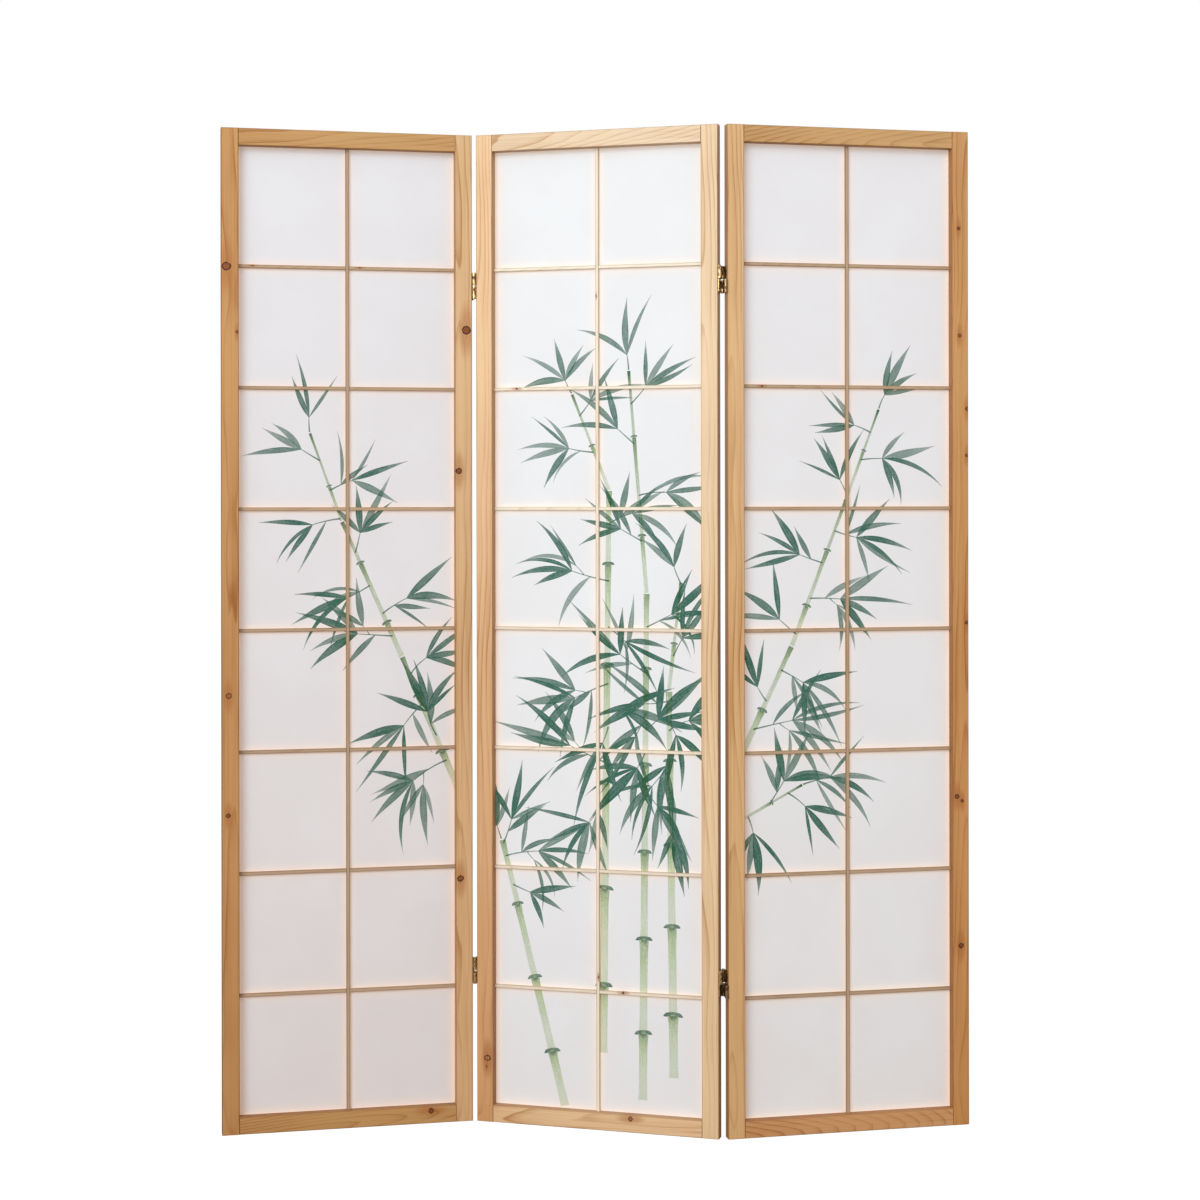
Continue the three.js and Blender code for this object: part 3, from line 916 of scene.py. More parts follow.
# Canes are (foot, top, width, joints, ink). Shoots are (start, heading in degrees, reach, leaf length,
# tone, droop).
PRINTS_MM = {
    "left_panel": {
        "canes": (
            ((196, 590), (96, 826), 13, 2, 0.35), ((96, 826), (-10, 1066), 10, 2, 0.5),
            ((-10, 1066), (-66, 1222), 6, 1, 0.75),
        ),
        "shoots": (
            ((176, 640), 200, 70, 118, 0.92, -0.1), ((158, 684), 122, 46, 108, 0.96, 0.2),
            ((134, 742), 222, 52, 112, 0.98, 0.0), ((112, 794), 58, 40, 104, 0.92, 0.3),
            ((80, 862), 176, 62, 116, 0.96, 0.0), ((62, 902), 38, 50, 106, 0.96, 0.2),
            ((40, 952), 212, 44, 106, 1.0, -0.1), ((14, 1010), 74, 36, 98, 0.94, 0.1),
            ((-12, 1070), 186, 50, 104, 0.96, 0.0), ((-30, 1120), 30, 42, 96, 0.94, 0.3),
            ((-48, 1172), 150, 38, 94, 0.92, 0.0), ((-66, 1222), 96, 26, 96, 0.9, 0.0),
        ),
    },
    "middle_panel": {
        "canes": (
            ((136, 96), (128, 770), 17, 4, 0.12), ((80, 54), (88, 940), 16, 5, 0.16),
            ((8, 132), (20, 1120), 16, 5, 0.14), ((-62, 34), (-178, 500), 16, 3, 0.14),
            ((128, 770), (150, 960), 8, 1, 0.6), ((88, 940), (56, 1330), 8, 2, 0.6),
            ((20, 1120), (-48, 1290), 7, 1, 0.6),
        ),
        "shoots": (
            ((-176, 492), 66, 46, 108, 1.0, 0.1), ((-172, 470), 18, 62, 116, 0.96, 0.4),
            ((-158, 420), 336, 34, 96, 0.94, 0.0), ((-180, 500), 106, 24, 100, 0.96, 0.0),
            ((14, 575), 232, 50, 116, 1.0, 0.0), ((16, 640), 158, 74, 124, 0.98, 0.2),
            ((84, 600), 300, 40, 108, 1.02, 0.0), ((128, 560), 282, 36, 104, 1.0, 0.0),
            ((128, 668), 262, 30, 120, 1.05, 0.0), ((128, 716), 300, 26, 112, 1.05, 0.0),
            ((86, 664), 250, 34, 124, 1.05, 0.0), ((86, 700), 40, 30, 118, 1.05, 0.2),
            ((18, 704), 256, 30, 124, 1.05, 0.0), ((18, 730), 24, 26, 112, 1.05, 0.2),
            ((128, 640), 232, 48, 116, 1.05, 0.0), ((128, 700), 42, 40, 110, 1.0, 0.3),
            ((128, 752), 196, 44, 112, 1.05, 0.1), ((136, 830), 66, 36, 102, 0.98, 0.0),
            ((150, 956), 118, 32, 104, 0.95, 0.0), ((86, 730), 252, 46, 116, 1.05, 0.0),
            ((86, 800), 148, 56, 116, 1.02, 0.1), ((88, 880), 26, 50, 112, 1.0, 0.2),
            ((18, 780), 200, 66, 120, 1.0, 0.1), ((18, 880), 322, 40, 106, 1.0, 0.0),
            ((20, 960), 170, 70, 118, 0.96, 0.2), ((20, 1060), 36, 46, 106, 0.94, 0.2),
            ((80, 1030), 152, 44, 104, 0.96, 0.0), ((74, 1110), 16, 50, 106, 0.94, 0.3),
            ((66, 1200), 138, 40, 100, 0.9, 0.0), ((60, 1270), 44, 40, 98, 0.9, 0.1),
            ((56, 1330), 92, 26, 100, 0.88, 0.0), ((-8, 1186), 176, 46, 104, 0.9, 0.1),
            ((-34, 1250), 48, 34, 94, 0.88, 0.0), ((-48, 1290), 122, 26, 98, 0.86, 0.0),
        ),
    },
    "right_panel": {
        "canes": (
            ((-196, 650), (-100, 848), 12, 1, 0.4), ((-100, 848), (0, 1104), 9, 2, 0.55),
            ((0, 1104), (60, 1262), 6, 1, 0.75), ((-196, 545), (-80, 606), 6, 1, 0.75),
        ),
        "shoots": (
            ((-180, 553), 296, 30, 104, 1.0, 0.0), ((-140, 574), 58, 46, 112, 0.98, 0.2),
            ((-108, 592), 330, 40, 108, 0.98, 0.0), ((-80, 606), 18, 50, 118, 0.96, 0.3),
            ((-170, 704), 12, 72, 120, 0.96, 0.2), ((-146, 752), 128, 30, 98, 0.98, 0.0),
            ((-120, 806), 334, 46, 108, 1.0, 0.0), ((-92, 868), 142, 40, 104, 0.96, 0.0),
            ((-68, 930), 2, 56, 110, 0.98, 0.2), ((-44, 992), 164, 44, 104, 0.96, 0.1),
            ((-22, 1048), 338, 42, 104, 0.96, 0.0), ((2, 1108), 112, 32, 96, 0.94, 0.0),
            ((26, 1172), 8, 40, 100, 0.92, 0.2), ((44, 1220), 150, 32, 92, 0.9, 0.0),
            ((60, 1262), 74, 26, 96, 0.88, 0.0),
        ),
    },
}

BACK_SHOW = 0.30  # share of the print that shows through on the back


def pigment(strokes, covering, point, cache):
    """Ink, wash and nearness to a mark's edge at a point, and the place in the uppermost mark."""
    clear_ink, clear_wash, edge, place = 1.0, 1.0, 0.0, (0.0, 0.0)
    for n in covering:
        stroke = strokes[n]
        key = (n, round(point.x, 3), round(point.y, 3))
        if key not in cache:
            cache[key] = stroke.measure(point)
        share, run, side = cache[key]
        clear_ink *= 1 - min(1.0, along(stroke.ink, share))
        clear_wash *= 1 - min(1.0, along(stroke.wash, share))
        edge = min(1.0, abs(side) / max(0.3, stroke.half_width(share)))
        place = ((run + stroke.offset) * MM, side * MM)
    return (1 - clear_ink, 1 - clear_wash, edge), place


def cut_sheet(strokes, low, high):
    """Triangles of a sheet that follow every mark. Returns corners in mm, faces, and marks per face."""
    edge = ((low.x, low.z), (high.x, low.z), (high.x, high.z), (low.x, high.z))
    outlines = [[Vector(corner) for corner in edge]] + [stroke.outline() for stroke in strokes]
    points, rings, ribs = [], [], []
    for outline in outlines:
        rings.append(list(range(len(points), len(points) + len(outline))))
        points += outline
    for stroke in strokes:
        inner = stroke.spine[1:-1]
        ribs += [(len(points) + n, len(points) + n + 1) for n in range(len(inner) - 1)]
        points += inner
    corners, _, faces, _, _, sources = delaunay_2d_cdt(points, ribs, rings, 1, 1e-3, True)
    kept = [(face, source) for face, source in zip(faces, sources) if 0 in source]
    marks = [[n - 1 for n in source if n > 0] for _, source in kept]
    return corners, [face for face, _ in kept], marks


def printed_sheet(name, leaf, strokes, low, high):
    """A closed thin sheet of paper between two corners, in the leaf's frame, with its print."""
    corners, faces, marks = cut_sheet(strokes, low / MM, high / MM)
    used = sorted({n for face in faces for n in face})
    rank = {n: m for m, n in enumerate(used)}
    front = [(corners[n].x * MM, low.y, corners[n].y * MM) for n in used]
    back = [(x, high.y, z) for x, _, z in front]
    ahead = [tuple(rank[n] for n in face) for face in faces]
    behind = [tuple(n + len(used) for n in reversed(face)) for face in ahead]
    sides = dict.fromkeys((a, b) for face in ahead for a, b in zip(face, face[1:] + face[:1]))
    rim = [(b, a, a + len(used), b + len(used)) for a, b in sides if (b, a) not in sides]
    mesh = bpy.data.meshes.new(name)
    turn = LEAVES[leaf]
    mesh.from_pydata([turn @ Vector(p) for p in front + back], [], ahead + behind + rim)
    colour = mesh.color_attributes.new("pigment", "FLOAT_COLOR", "CORNER")
    front_side = mesh.attributes.new("front", "FLOAT", "FACE")
    for number in range(len(ahead)):
        front_side.data[number].value = 1.0
    brush = mesh.uv_layers.new(name="brush")
    sheet = mesh.uv_layers.new(name="sheet")
    cache = {}
    for corner, loop in enumerate(mesh.loops):
        place = corners[used[loop.vertex_index % len(used)]]
        sheet.data[corner].uv = (place.x * MM, place.y * MM)
    for number, polygon in enumerate(mesh.polygons):
        if number >= 2 * len(ahead):
            break
        covering = marks[number % len(ahead)]
        strength = 1.0 if number < len(ahead) else BACK_SHOW
        for corner in polygon.loop_indices:
            vertex = used[mesh.loops[corner].vertex_index % len(used)]
            (ink, wash, edge), place = pigment(strokes, covering, corners[vertex], cache)
            colour.data[corner].color = (ink * strength, wash * strength, edge * strength, 1)
            brush.data[corner].uv = place
    return mesh


# The leaf's opening and its bars, which the paper lies behind
OPENING_HALF = 190 * MM
BAR_HALF = 3 * MM
LOWEST_BAR = 27 * MM  # where the even spacing of the cross bars starts, just under the opening
BAR_SPACING = 212 * MM
OPENING_TOP = 1.72

PAINTED_WARM_REACH = 6 * MM  # how fast the painted warm light and shade beside the wood fade
PAINTED_WARM_TINT = (1.0, 0.90, 0.84, 1)  # painted warm shade and bounce light beside the wood: what the paper's colour is multiplied by there
PAINTED_GLOW_TINT = (0.325, 0.292, 0.273, 1)  # the paper's painted glow, standing in for light through it, away from the wood
PAINTED_GLOW_BESIDE_WOOD = (1.0, 0.75, 0.50, 1)  # and beside it, where the glow also paints the lit wood's bounce light
PAPER_FIBRE = (0.74, 0.735, 0.75, 1)
PAPER_CLOUD = (0.815, 0.83, 0.86, 1)
BAR_SHADOW = (0.60, 0.55, 0.49, 1)

# Painted light and shade on each sheet, for how its leaf faces the light and how the light changes from
# top to foot: what the paper's colour is multiplied by at its top and at its foot
PAINTED_SHEET_LIGHT = {
    "left_panel": ((0.950, 0.950, 0.965), (0.940, 0.895, 0.870)),
    "middle_panel": ((0.985, 1.010, 1.010), (0.975, 0.990, 0.990)),
    "right_panel": ((0.985, 0.985, 0.990), (1.015, 1.025, 1.010)),
}


def wood_distance(tree):
    """How far a place on the sheet is from the nearest bar or frame member, and how high it is."""
    x, height, _ = split(out(add(tree, "ShaderNodeUVMap", uv_map="sheet")))
    aside = calc("ABSOLUTE", x)
    aside = calc("MINIMUM", aside, OPENING_HALF - aside)
    upward = calc("PINGPONG", height - LOWEST_BAR, BAR_SPACING / 2)
    return calc("MINIMUM", aside, upward) - BAR_HALF, height


def brush_marks(tooth, place):
    """How strongly ink and wash cover the paper, by its pigment attribute and the brush's streaks."""
    stain = out(add(place.tree, "ShaderNodeAttribute", attribute_name="pigment"), "Color")
    ink, wash, edge = split(stain, "Color")
    brush = out(add(place.tree, "ShaderNodeUVMap", uv_map="brush"))
    streak = mottle(brush, (20, 560, 1), 3.0, Roughness=0.65)
    pool = mottle(place, (46, 46, 46), 2.0)
    # A loaded brush pools at the edge of a mark. A drier one leaves streaks and skips the tooth.
    bristle = streak * 0.55 + tooth * 0.45
    cover = spread(bristle, 0.36, 0.62) * -0.18 + 1.06
    cover = calc("POWER", edge, 3.0) * 0.08 + cover
    cover = (pool - 0.5) * 0.22 + cover
    start = ink * 0.17 + 0.46
    wet = 1.0 - spread(bristle, start, start + 0.10, 0.0, 0.75)
    thin = cover - spread(bristle, 0.52, 0.64, 0.0, 0.35)
    return calc("MULTIPLY", ink * cover, wet, clamp=True), calc("MULTIPLY", wash, thin, clamp=True)


def make_paper(leaf):
    """Fibrous white paper with ink and wash that darken it. Beside the wood it has painted warm shade
    and bounce light, and all over it gives off a painted glow.
    """
    material, tree, shader = new_material(f"{leaf} printed paper")
    colours = bpy.context.scene.screen_print
    place = object_place(tree)
    tooth = mottle(place, (330, 330, 330), 3.0, Roughness=0.7)
    fibre = mottle(place, (60, 60, 420), 4.0, Roughness=0.75, Distortion=1.2)
    cloud = mottle(place, (9, 9, 9), 3.0)
    inked, washed = brush_marks(tooth, place)
    gap, height = wood_distance(tree)
    front = out(add(tree, "ShaderNodeAttribute", attribute_name="front"), "Fac")
    halo = calc("EXPONENT", gap / -PAINTED_WARM_REACH, clamp=True) * front
    sheet = mix(spread(fibre, 0.40, 0.70, 0.0, 0.10), rgba(colours.paper), PAPER_FIBRE)
    # Painted warm shade and bounce light on the paper beside the wood
    sheet = mix(halo * 0.9, sheet, multiply(sheet, PAINTED_WARM_TINT))
    # From behind, the bars show as soft lines, because they keep the light from the sheet.
    hidden = spread(gap, 1 * MM, -2 * MM, 0.0, 0.5) * (1.0 - front)
    sheet = mix(hidden, sheet, BAR_SHADOW)
    sheet = mix(spread(cloud, 0.35, 0.70, 0.0, 0.30), sheet, PAPER_CLOUD)
    # Painted light and shade, from the sheet's top to its foot
    top, foot = PAINTED_SHEET_LIGHT[leaf]
    upward = calc("DIVIDE", height, OPENING_TOP, clamp=True)
    sheet = multiply(sheet, mix(upward, rgba(foot), rgba(top)))
    green = mix(washed, WHITE, rgba(colours.wash))
    dark = mix(inked, WHITE, rgba(colours.ink))
    colour = multiply(multiply(sheet, green), dark)
    # The sheet also gives off a painted glow, which stands in for daylight coming through it from
    # behind, warmer than it went in. Beside the wood the glow is stronger, as painted light for the lit
    # wood throwing its own colour on the sheet.
    through = multiply(colour, mix(halo, PAINTED_GLOW_TINT, PAINTED_GLOW_BESIDE_WOOD))
    feed(shader, {"Base Color": colour, "Emission Color": through})
    feed(shader, {"Emission Strength": colours.glow, "Roughness": 0.85, "Specular IOR Level": 0.2})
    roughen(shader, 0.25, 0.1 * MM, fibre * 0.7 + tooth)
    return material


class SCREEN_OT_hang_paper(bpy.types.Operator):
    """Print the three sheets of paper and lay them behind the lattices"""

    bl_idname = "screen.hang_paper"
    bl_label = "Hang paper"

    def execute(self, context):
        for number, leaf in enumerate(LEAVES):
            node = f"{leaf}_paper"
            low, high = extents(node, leaf)
            rng = random.Random(context.scene.screen_print.seed + number)
            strokes = grow(rng, **PRINTS_MM[leaf])
            mesh = printed_sheet(f"{leaf}_printed_paper", leaf, strokes, low, high)
            mesh.materials.append(make_paper(leaf))
            piece = bpy.data.objects.new(mesh.name, mesh)
            context.scene.collection.objects.link(piece)
            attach(piece, leaf)
            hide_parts(node)
        return {"FINISHED"}


# ------------------------------------------------------------------ hinges and their screws


BRASS_PATCHES = (240, 240, 160)  # noise cells to the metre
BRASS_RUBBING = (2600, 2600, 140)
# How much of the hinges' colour is tarnish, and painted shade on the plates
HINGE_TARNISH_AND_SHADE = 0.95
SCREW_TARNISH = 0.35
KNUCKLE_END = 3.3 * MM  # how far from a pin the bright knuckle ends
PLATE_START = 4.3 * MM  # and the plate's painted shade starts


def make_brass_group():
    """Brass that has dulled unevenly, with fine rubbing marks, and plates painted dark away from the
    pins as shade.
    """
    tree, given, result = new_group(
        "Worn brass",
        {
            "Place": (0, 0, 0),
            "Clean": (0.7, 0.5, 0.2, 1),
            "Dull": (0.3, 0.2, 0.1, 1),
            "Amount": 0.5,
            "From Pin": 0.0,
        },
        ("Color", "Roughness", "Height"),
    )
    patches = mottle(given["Place"], BRASS_PATCHES, 3.0)
    rubbed = mottle(given["Place"], BRASS_RUBBING, 2.0)
    # The knuckles are rubbed bright. The plates away from the pins are painted dark, as the shade and
    # dark reflection of the gap they face, besides the patches of real tarnish.
    plate = spread(given["From Pin"], KNUCKLE_END, PLATE_START, 0.0, 0.72)
    tarnish_and_shade = calc("MAXIMUM", plate, spread(patches, 0.36, 0.68))
    tarnish_and_shade = calc("MULTIPLY_ADD", patches - 0.5, 0.9, tarnish_and_shade, clamp=True)
    colour = mix(tarnish_and_shade * given["Amount"], given["Clean"], given["Dull"])
    rough = tarnish_and_shade * 0.14 + (rubbed * 0.16 + 0.20)
    feed(result, {"Color": colour, "Roughness": rough, "Height": rubbed})
    return tree


def off_axis(place, axis):
    """How far a place is from an upright line."""
    return calc("LENGTH", (place - axis) * (1, 1, 0))


def make_brass(name, amount, pins=()):
    """Brass with a given share of tarnish. Where pins are given, its plates away from them are painted
    dark as shade, and the knuckles round the pins stay bright.
    """
    material, tree, shader = new_material(name)
    hinge = bpy.context.scene.screen_hinges
    place = object_place(tree)
    age_and_shade = {"Place": place, "Clean": rgba(hinge.brass), "Dull": rgba(hinge.tarnish), "Amount": amount}
    if pins:
        age_and_shade["From Pin"] = calc("MINIMUM", *(off_axis(place, pin) for pin in pins))
    worn_and_shaded = place_group(tree, "Worn brass", make_brass_group, age_and_shade)
    feed(shader, {"Metallic": 1.0, "Base Color": out(worn_and_shaded), "Roughness": out(worn_and_shaded, "Roughness")})
    roughen(shader, 0.2, 0.05 * MM, out(worn_and_shaded, "Height"))
    return material


class SCREEN_OT_finish_hinges(bpy.types.Operator):
    """Give the hinges' leaves and links worn brass, with painted shade on their plates"""

    bl_idname = "screen.finish_hinges"
    bl_label = "Finish hinges"

    def execute(self, context):
        for side in ("left", "right"):
            pins = [pin_of(f"{side}_fold_{face}_pins") for face in ("front", "rear")]
            brass = make_brass(f"{side} hinge brass", HINGE_TARNISH_AND_SHADE, pins)
            for node in frame["nodes"]:
                if node.startswith(side) and "_hinge_" in node:
                    wear(node, brass)
        return {"FINISHED"}


SCREW_PITCH = 19 * MM
LEAF_THICKNESS = 1.2 * MM
SCREW_SINK = 0.15 * MM  # a head's face below the hinge leaf's face
SCREW_REACH = 2.2 * MM  # from the head's face to the end of the modelled shank
RECESS_DEPTH = 0.9 * MM
HEAD_EDGE = 0.08 * MM
SCREW_SIDES = 24
SCREW_SEED = 31
# Shares of the head's radius
CROSS_REACH = 0.62
CROSS_HALF_SLOT = 0.14
HEAD_FLAT = 0.93
NECK = 0.52
SHANK = 0.50
CROSS_BOTTOM = 0.35  # the recess's size at its bottom, as a share of its size at the face


def cross_outline(radius, half_slot, sides):
    """The outline of a cross recess, as (x, y), with as many points as the head has sides."""
    points = []
    for n in range(sides):
        angle = 2 * math.pi * n / sides
        x, y = math.cos(angle), math.sin(angle)
        in_slot = min(abs(x), abs(y)) / max(abs(x), abs(y)) * radius <= half_slot
        reach = radius if in_slot else half_slot * math.sqrt(2)
        points.append((x * reach, y * reach))
    return points


def make_screw(name, radius):
    """A countersunk screw with a cross recess, its head's face at z = 0 and its shank going down."""
    mesh = bmesh.new()
    turns = [2 * math.pi * n / SCREW_SIDES for n in range(SCREW_SIDES)]
    circle = [(math.cos(turn), math.sin(turn)) for turn in turns]
    cross = cross_outline(radius * CROSS_REACH, radius * CROSS_HALF_SLOT, SCREW_SIDES)
    # From the bottom of the recess over the head to the end of the shank
    outlines = (
        (cross, CROSS_BOTTOM, RECESS_DEPTH),
        (cross, 1, 0),
        (circle, radius * HEAD_FLAT, 0),
        (circle, radius, HEAD_EDGE),
        (circle, radius * NECK, LEAF_THICKNESS),
        (circle, radius * SHANK, SCREW_REACH),
    )
    rings = [
        [mesh.verts.new((x * scale, y * scale, -depth)) for x, y in outline]
        for outline, scale, depth in outlines
    ]
    mesh.faces.new(list(reversed(rings[0])))
    for inner, outer in zip(rings, rings[1:]):
        for n in range(SCREW_SIDES):
            m = (n + 1) % SCREW_SIDES
            mesh.faces.new((inner[n], outer[n], outer[m], inner[m]))
    mesh.faces.new(list(reversed(rings[-1])))
    bmesh.ops.recalc_face_normals(mesh, faces=mesh.faces)
    made = bpy.data.meshes.new(name)
    mesh.to_mesh(made)
    mesh.free()
    return bpy.data.objects.new(name, made)


def make_scatter_tree():
    """Geometry nodes: a copy of an object at every point, turned as the point's aim says."""
    tree = bpy.data.node_groups.new("Screws at points", "GeometryNodeTree")
    kinds = {"Geometry": "Geometry", "Screw": "Object", "Size": "Float", "Finish": "Material"}
    for name, kind in kinds.items():
        tree.interface.new_socket(name=name, in_out="INPUT", socket_type=f"NodeSocket{kind}")
    tree.interface.new_socket(name="Geometry", in_out="OUTPUT", socket_type="NodeSocketGeometry")
    source = tree.nodes.new("NodeGroupInput")
    screw = add(tree, "GeometryNodeObjectInfo", {"Object": out(source, "Screw")})
    aim = add(tree, "GeometryNodeInputNamedAttribute", {"Name": "aim"}, data_type="FLOAT_VECTOR")
    turned = {
        "Points": out(source, "Geometry"),
        "Instance": out(screw, "Geometry"),
        "Rotation": out(aim, "Attribute"),
        "Scale": out(source, "Size"),
    }
    copies = add(tree, "GeometryNodeInstanceOnPoints", turned)
    real = add(tree, "GeometryNodeRealizeInstances", {"Geometry": out(copies)})
    finish = {"Geometry": out(real), "Material": out(source, "Finish")}
    finished = add(tree, "GeometryNodeSetMaterial", finish)
    feed(tree.nodes.new("NodeGroupOutput"), {"Geometry": out(finished)})
    return tree


def screw_places(hinge, leaf, rng):
    """Places and turns of the screws in one hinge leaf: face out towards the gap, cross at any angle."""
    low, high = extents(hinge, leaf)
    middle = (low + high) / 2
    outward = 1 if middle.x > 0 else -1
    # The plate lies against the stile, on the side away from the gap.
    face = (low.x if outward > 0 else high.x) + outward * (LEAF_THICKNESS - SCREW_SINK)
    places = []
    for n in (-1, 0, 1):
        turn = LEAVES[leaf].to_3x3() @ Matrix.Rotation(outward * math.pi / 2, 3, "Y")
        spun = turn @ Matrix.Rotation(rng.uniform(0, math.pi / 2), 3, "Z")
        centre = Vector((face, 0, middle.z + n * SCREW_PITCH))
        places.append((LEAVES[leaf] @ centre, spun.to_euler()))
    return places


def scatter(name, places, tree, pattern, finish):
    """A plain mesh of copies of a pattern, one at each place, with its turn."""
    cloud = bpy.data.meshes.new(name)
    cloud.from_pydata([place for place, _ in places], [], [])
    aim = cloud.attributes.new("aim", "FLOAT_VECTOR", "POINT")
    for n, (_, turn) in enumerate(places):
        aim.data[n].vector = turn
    carrier = bpy.data.objects.new(name, cloud)
    bpy.context.scene.collection.objects.link(carrier)
    modifier = carrier.modifiers.new("Screws", "NODES")
    modifier.node_group = tree
    values = {"Screw": pattern, "Size": 1.0, "Finish": finish}
    for socket in tree.interface.items_tree:
        if socket.in_out == "INPUT" and socket.name in values:
            modifier[socket.identifier] = values[socket.name]
    graph = bpy.context.evaluated_depsgraph_get()
    mesh = bpy.data.meshes.new_from_object(carrier.evaluated_get(graph))
    bpy.data.objects.remove(carrier)
    return mesh


class SCREEN_OT_drive_screws(bpy.types.Operator):
    """Drive three countersunk screws through every hinge leaf"""

    bl_idname = "screen.drive_screws"
    bl_label = "Drive screws"

    def execute(self, context):
        radius = context.scene.screen_hinges.screw_radius
        tree = make_scatter_tree()
        brass = make_brass("screw brass", SCREW_TARNISH)
        pattern = make_screw("screw pattern", radius)
        rng = random.Random(SCREW_SEED)
        for leaf in LEAVES:
            middle = leaf == "middle_panel"
            kind = "inner_leaf" if middle else "outer_leaf"
            side = "" if middle else leaf.split("_")[0]
            places = []
            for node in frame["nodes"]:
                if node.startswith(side) and node.endswith(kind):
                    places += screw_places(node, leaf, rng)
            mesh = scatter(f"{leaf}_screw_points", places, tree, pattern, brass)
            mesh.name = f"{leaf}_hinge_screws"
            piece = bpy.data.objects.new(mesh.name, mesh)
            context.scene.collection.objects.link(piece)
            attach(piece, leaf)
        bpy.data.objects.remove(pattern)
        return {"FINISHED"}


# ------------------------------------------------------------------ stage

CAMERA_PLACE = (0.1304, -3.9478, 1.0981)
CAMERA_PAN = 1.812  # degrees to the left
CAMERA_ROLL = -0.083
CAMERA_LENS = 67.576  # for a frame 36 mm wide
CAMERA_SHIFT = -0.0814  # the frame is cut below the level line of sight, in frame widths
LAMP_AIM = Vector((0, 0, 0.9))
# A lamp's colour, size and place
KEY_LAMP = ((0.94, 1.0, 1.0), 7.5, (-4.8, -11.0, 4.8))
TOP_LAMP = ((0.97, 1.0, 1.0), 2.6, (0.1, -3.0, 3.6))


def add_lamp(name, power, colour, size, place):
    """A square soft light that faces the middle of the screen."""
    light = bpy.data.lights.new(name, "AREA")
    light.energy = power
    light.color = colour
    light.size = size
    lamp = bpy.data.objects.new(name, light)
    lamp.location = place
    lamp.rotation_euler = (LAMP_AIM - lamp.location).to_track_quat("-Z", "Y").to_euler()
    bpy.context.scene.collection.objects.link(lamp)


FLOOR_REACH = 30.0
FLOOR_GLOW = 1.12  # brings what the camera sees of the floor to the background's white
FLOOR_GLOW_SHARE = 0.85
# What the floor throws back at the screen: dim and warm near it, and pale farther off
FLOOR_NEAR = (0.21, 0.11, 0.075, 1)
FLOOR_FAR = (0.54, 0.54, 0.55, 1)
NEAR_REACH = 0.6  # metres from the middle of the floor
FAR_REACH = 2.8
AMBIENT_TINT = (1.0, 0.97, 0.975, 1)


def make_floor():
    """A wide pale floor. The camera sees it nearly white, with a light shadow under the screen."""
    mesh = bpy.data.meshes.new("floor")
    corners = [(FLOOR_REACH * x, FLOOR_REACH * y, 0) for x, y in ((-1, -1), (1, -1), (1, 1), (-1, 1))]
    mesh.from_pydata(corners, [], [(0, 1, 2, 3)])
    material, tree, shader = new_material("floor")
    seen = out(add(tree, "ShaderNodeLightPath"), "Is Camera Ray")
    away = calc("LENGTH", object_place(tree))
    thrown = mix(spread(away, NEAR_REACH, FAR_REACH), FLOOR_NEAR, FLOOR_FAR)
    colour = mix(seen, thrown, WHITE)
    feed(shader, {"Base Color": colour, "Roughness": 0.9, "Specular IOR Level": 0.0})
    white = add(tree, "ShaderNodeEmission", {"Color": WHITE, "Strength": FLOOR_GLOW})
    layers = {0: seen * FLOOR_GLOW_SHARE, 1: out(shader), 2: out(white)}
    feed(tree.nodes["Material Output"], {"Surface": out(add(tree, "ShaderNodeMixShader", layers))})
    mesh.materials.append(material)
    return bpy.data.objects.new("floor", mesh)


def make_world(ambient):
    """An even light from all round, with a white background for the camera and for reflections."""
    world = bpy.data.worlds.new("studio")
    world.use_nodes = True
    tree = world.node_tree
    rays = add(tree, "ShaderNodeLightPath")
    direct = out(rays, "Is Camera Ray")
    for kind in ("Is Glossy Ray", "Is Transmission Ray"):
        direct = calc("MAXIMUM", direct, out(rays, kind))
    strength = direct * (1.0 - ambient) + ambient
    feed(tree.nodes["Background"], {"Color": mix(direct, AMBIENT_TINT, WHITE), "Strength": strength})
    return world


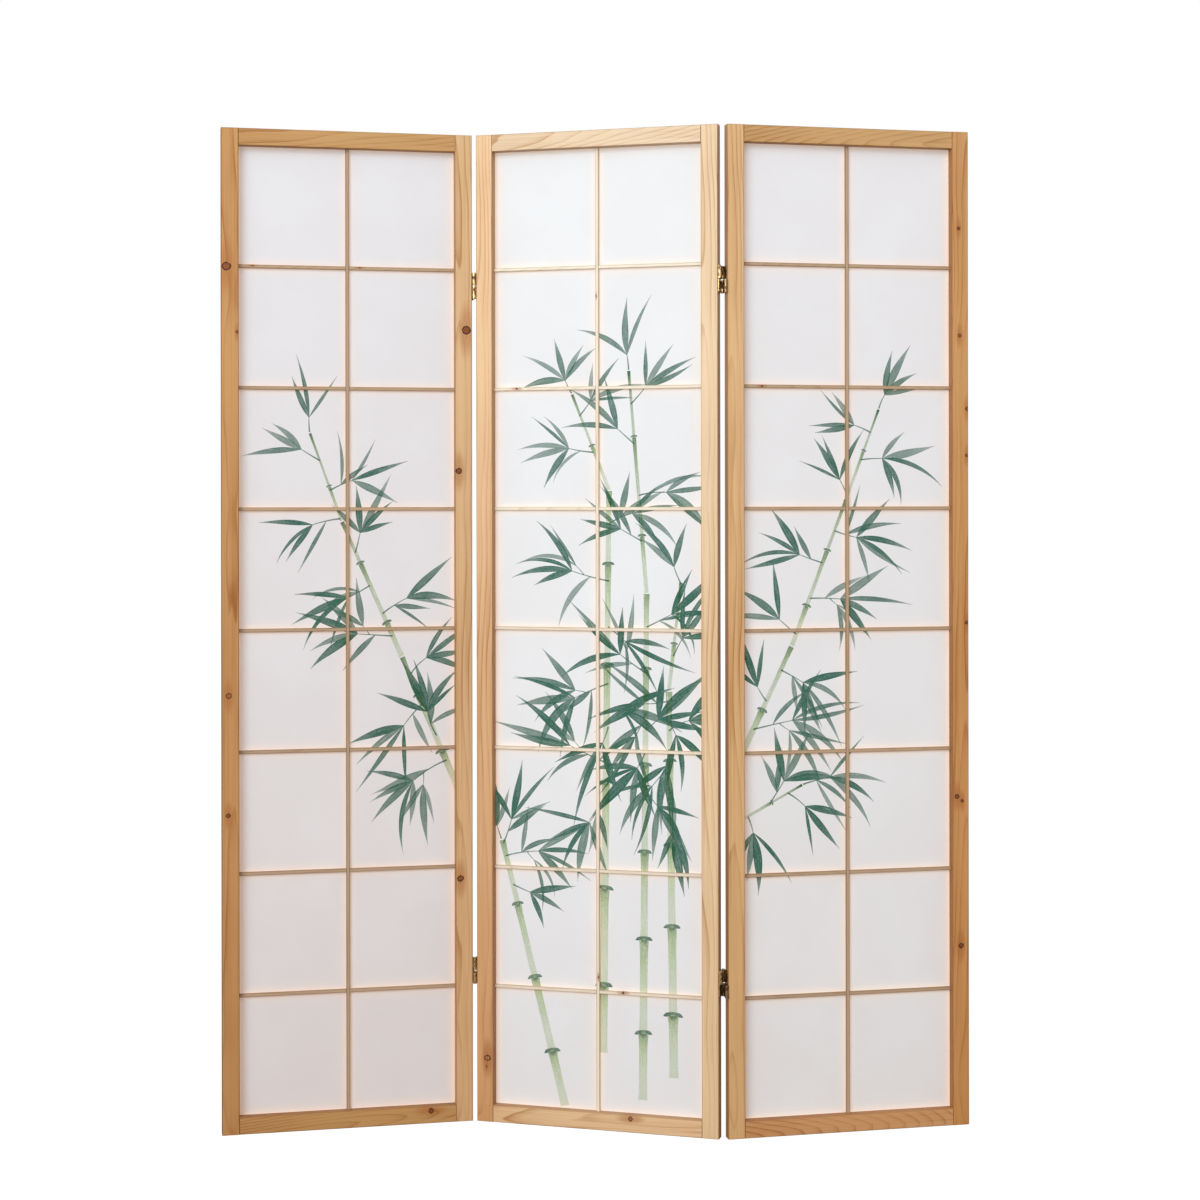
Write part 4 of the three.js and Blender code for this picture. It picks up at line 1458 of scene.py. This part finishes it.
class SCREEN_OT_set_stage(bpy.types.Operator):
    """Set up the floor, the lights and the camera"""

    bl_idname = "screen.set_stage"
    bl_label = "Set stage"

    def execute(self, context):
        scene = context.scene
        settings = scene.screen_stage
        floor = make_floor()
        scene.collection.objects.link(floor)
        scene.world = make_world(settings.ambient)
        add_lamp("key", settings.key_power, *KEY_LAMP)
        add_lamp("top light", settings.top_power, *TOP_LAMP)
        camera = bpy.data.cameras.new("camera")
        camera.sensor_width = 36
        camera.lens = CAMERA_LENS
        camera.shift_y = CAMERA_SHIFT
        viewer = bpy.data.objects.new("camera", camera)
        viewer.location = CAMERA_PLACE
        level = Matrix.Rotation(math.radians(CAMERA_PAN), 3, "Z") @ Matrix.Rotation(math.pi / 2, 3, "X")
        viewer.rotation_euler = (level @ Matrix.Rotation(math.radians(CAMERA_ROLL), 3, "Z")).to_euler()
        scene.collection.objects.link(viewer)
        scene.camera = viewer
        scene.view_settings.view_transform = "Standard"
        return {"FINISHED"}


# ------------------------------------------------------------------ panel and start

STEPS = (
    SCREEN_OT_finish_frames,
    SCREEN_OT_finish_lattice,
    SCREEN_OT_hang_paper,
    SCREEN_OT_finish_hinges,
    SCREEN_OT_drive_screws,
    SCREEN_OT_set_stage,
)
SETTINGS = {
    "screen_wood": ScreenWoodSettings,
    "screen_print": ScreenPrintSettings,
    "screen_hinges": ScreenHingeSettings,
    "screen_stage": ScreenStageSettings,
}


class SCREEN_PT_tools(bpy.types.Panel):
    """The screen's settings and the steps that finish it"""

    bl_idname = "SCREEN_PT_tools"
    bl_label = "Folding screen"
    bl_space_type = "VIEW_3D"
    bl_region_type = "UI"
    bl_category = "Folding screen"

    def draw(self, context):
        for name, group in SETTINGS.items():
            box = self.layout.box()
            for setting in group.__annotations__:
                box.prop(getattr(context.scene, name), setting)
        for step in STEPS:
            self.layout.operator(step.bl_idname)


CLASSES = (*SETTINGS.values(), *STEPS, SCREEN_PT_tools)


def register():
    for cls in CLASSES:
        bpy.utils.register_class(cls)
    for name, group in SETTINGS.items():
        setattr(bpy.types.Scene, name, PointerProperty(type=group))


def unregister():
    for name in SETTINGS:
        delattr(bpy.types.Scene, name)
    for cls in reversed(CLASSES):
        bpy.utils.unregister_class(cls)


def main():
    register()
    bpy.ops.screen.finish_frames()
    bpy.ops.screen.finish_lattice()
    bpy.ops.screen.hang_paper()
    bpy.ops.screen.finish_hinges()
    bpy.ops.screen.drive_screws()
    bpy.ops.screen.set_stage()


if __name__ == "__main__":
    main()
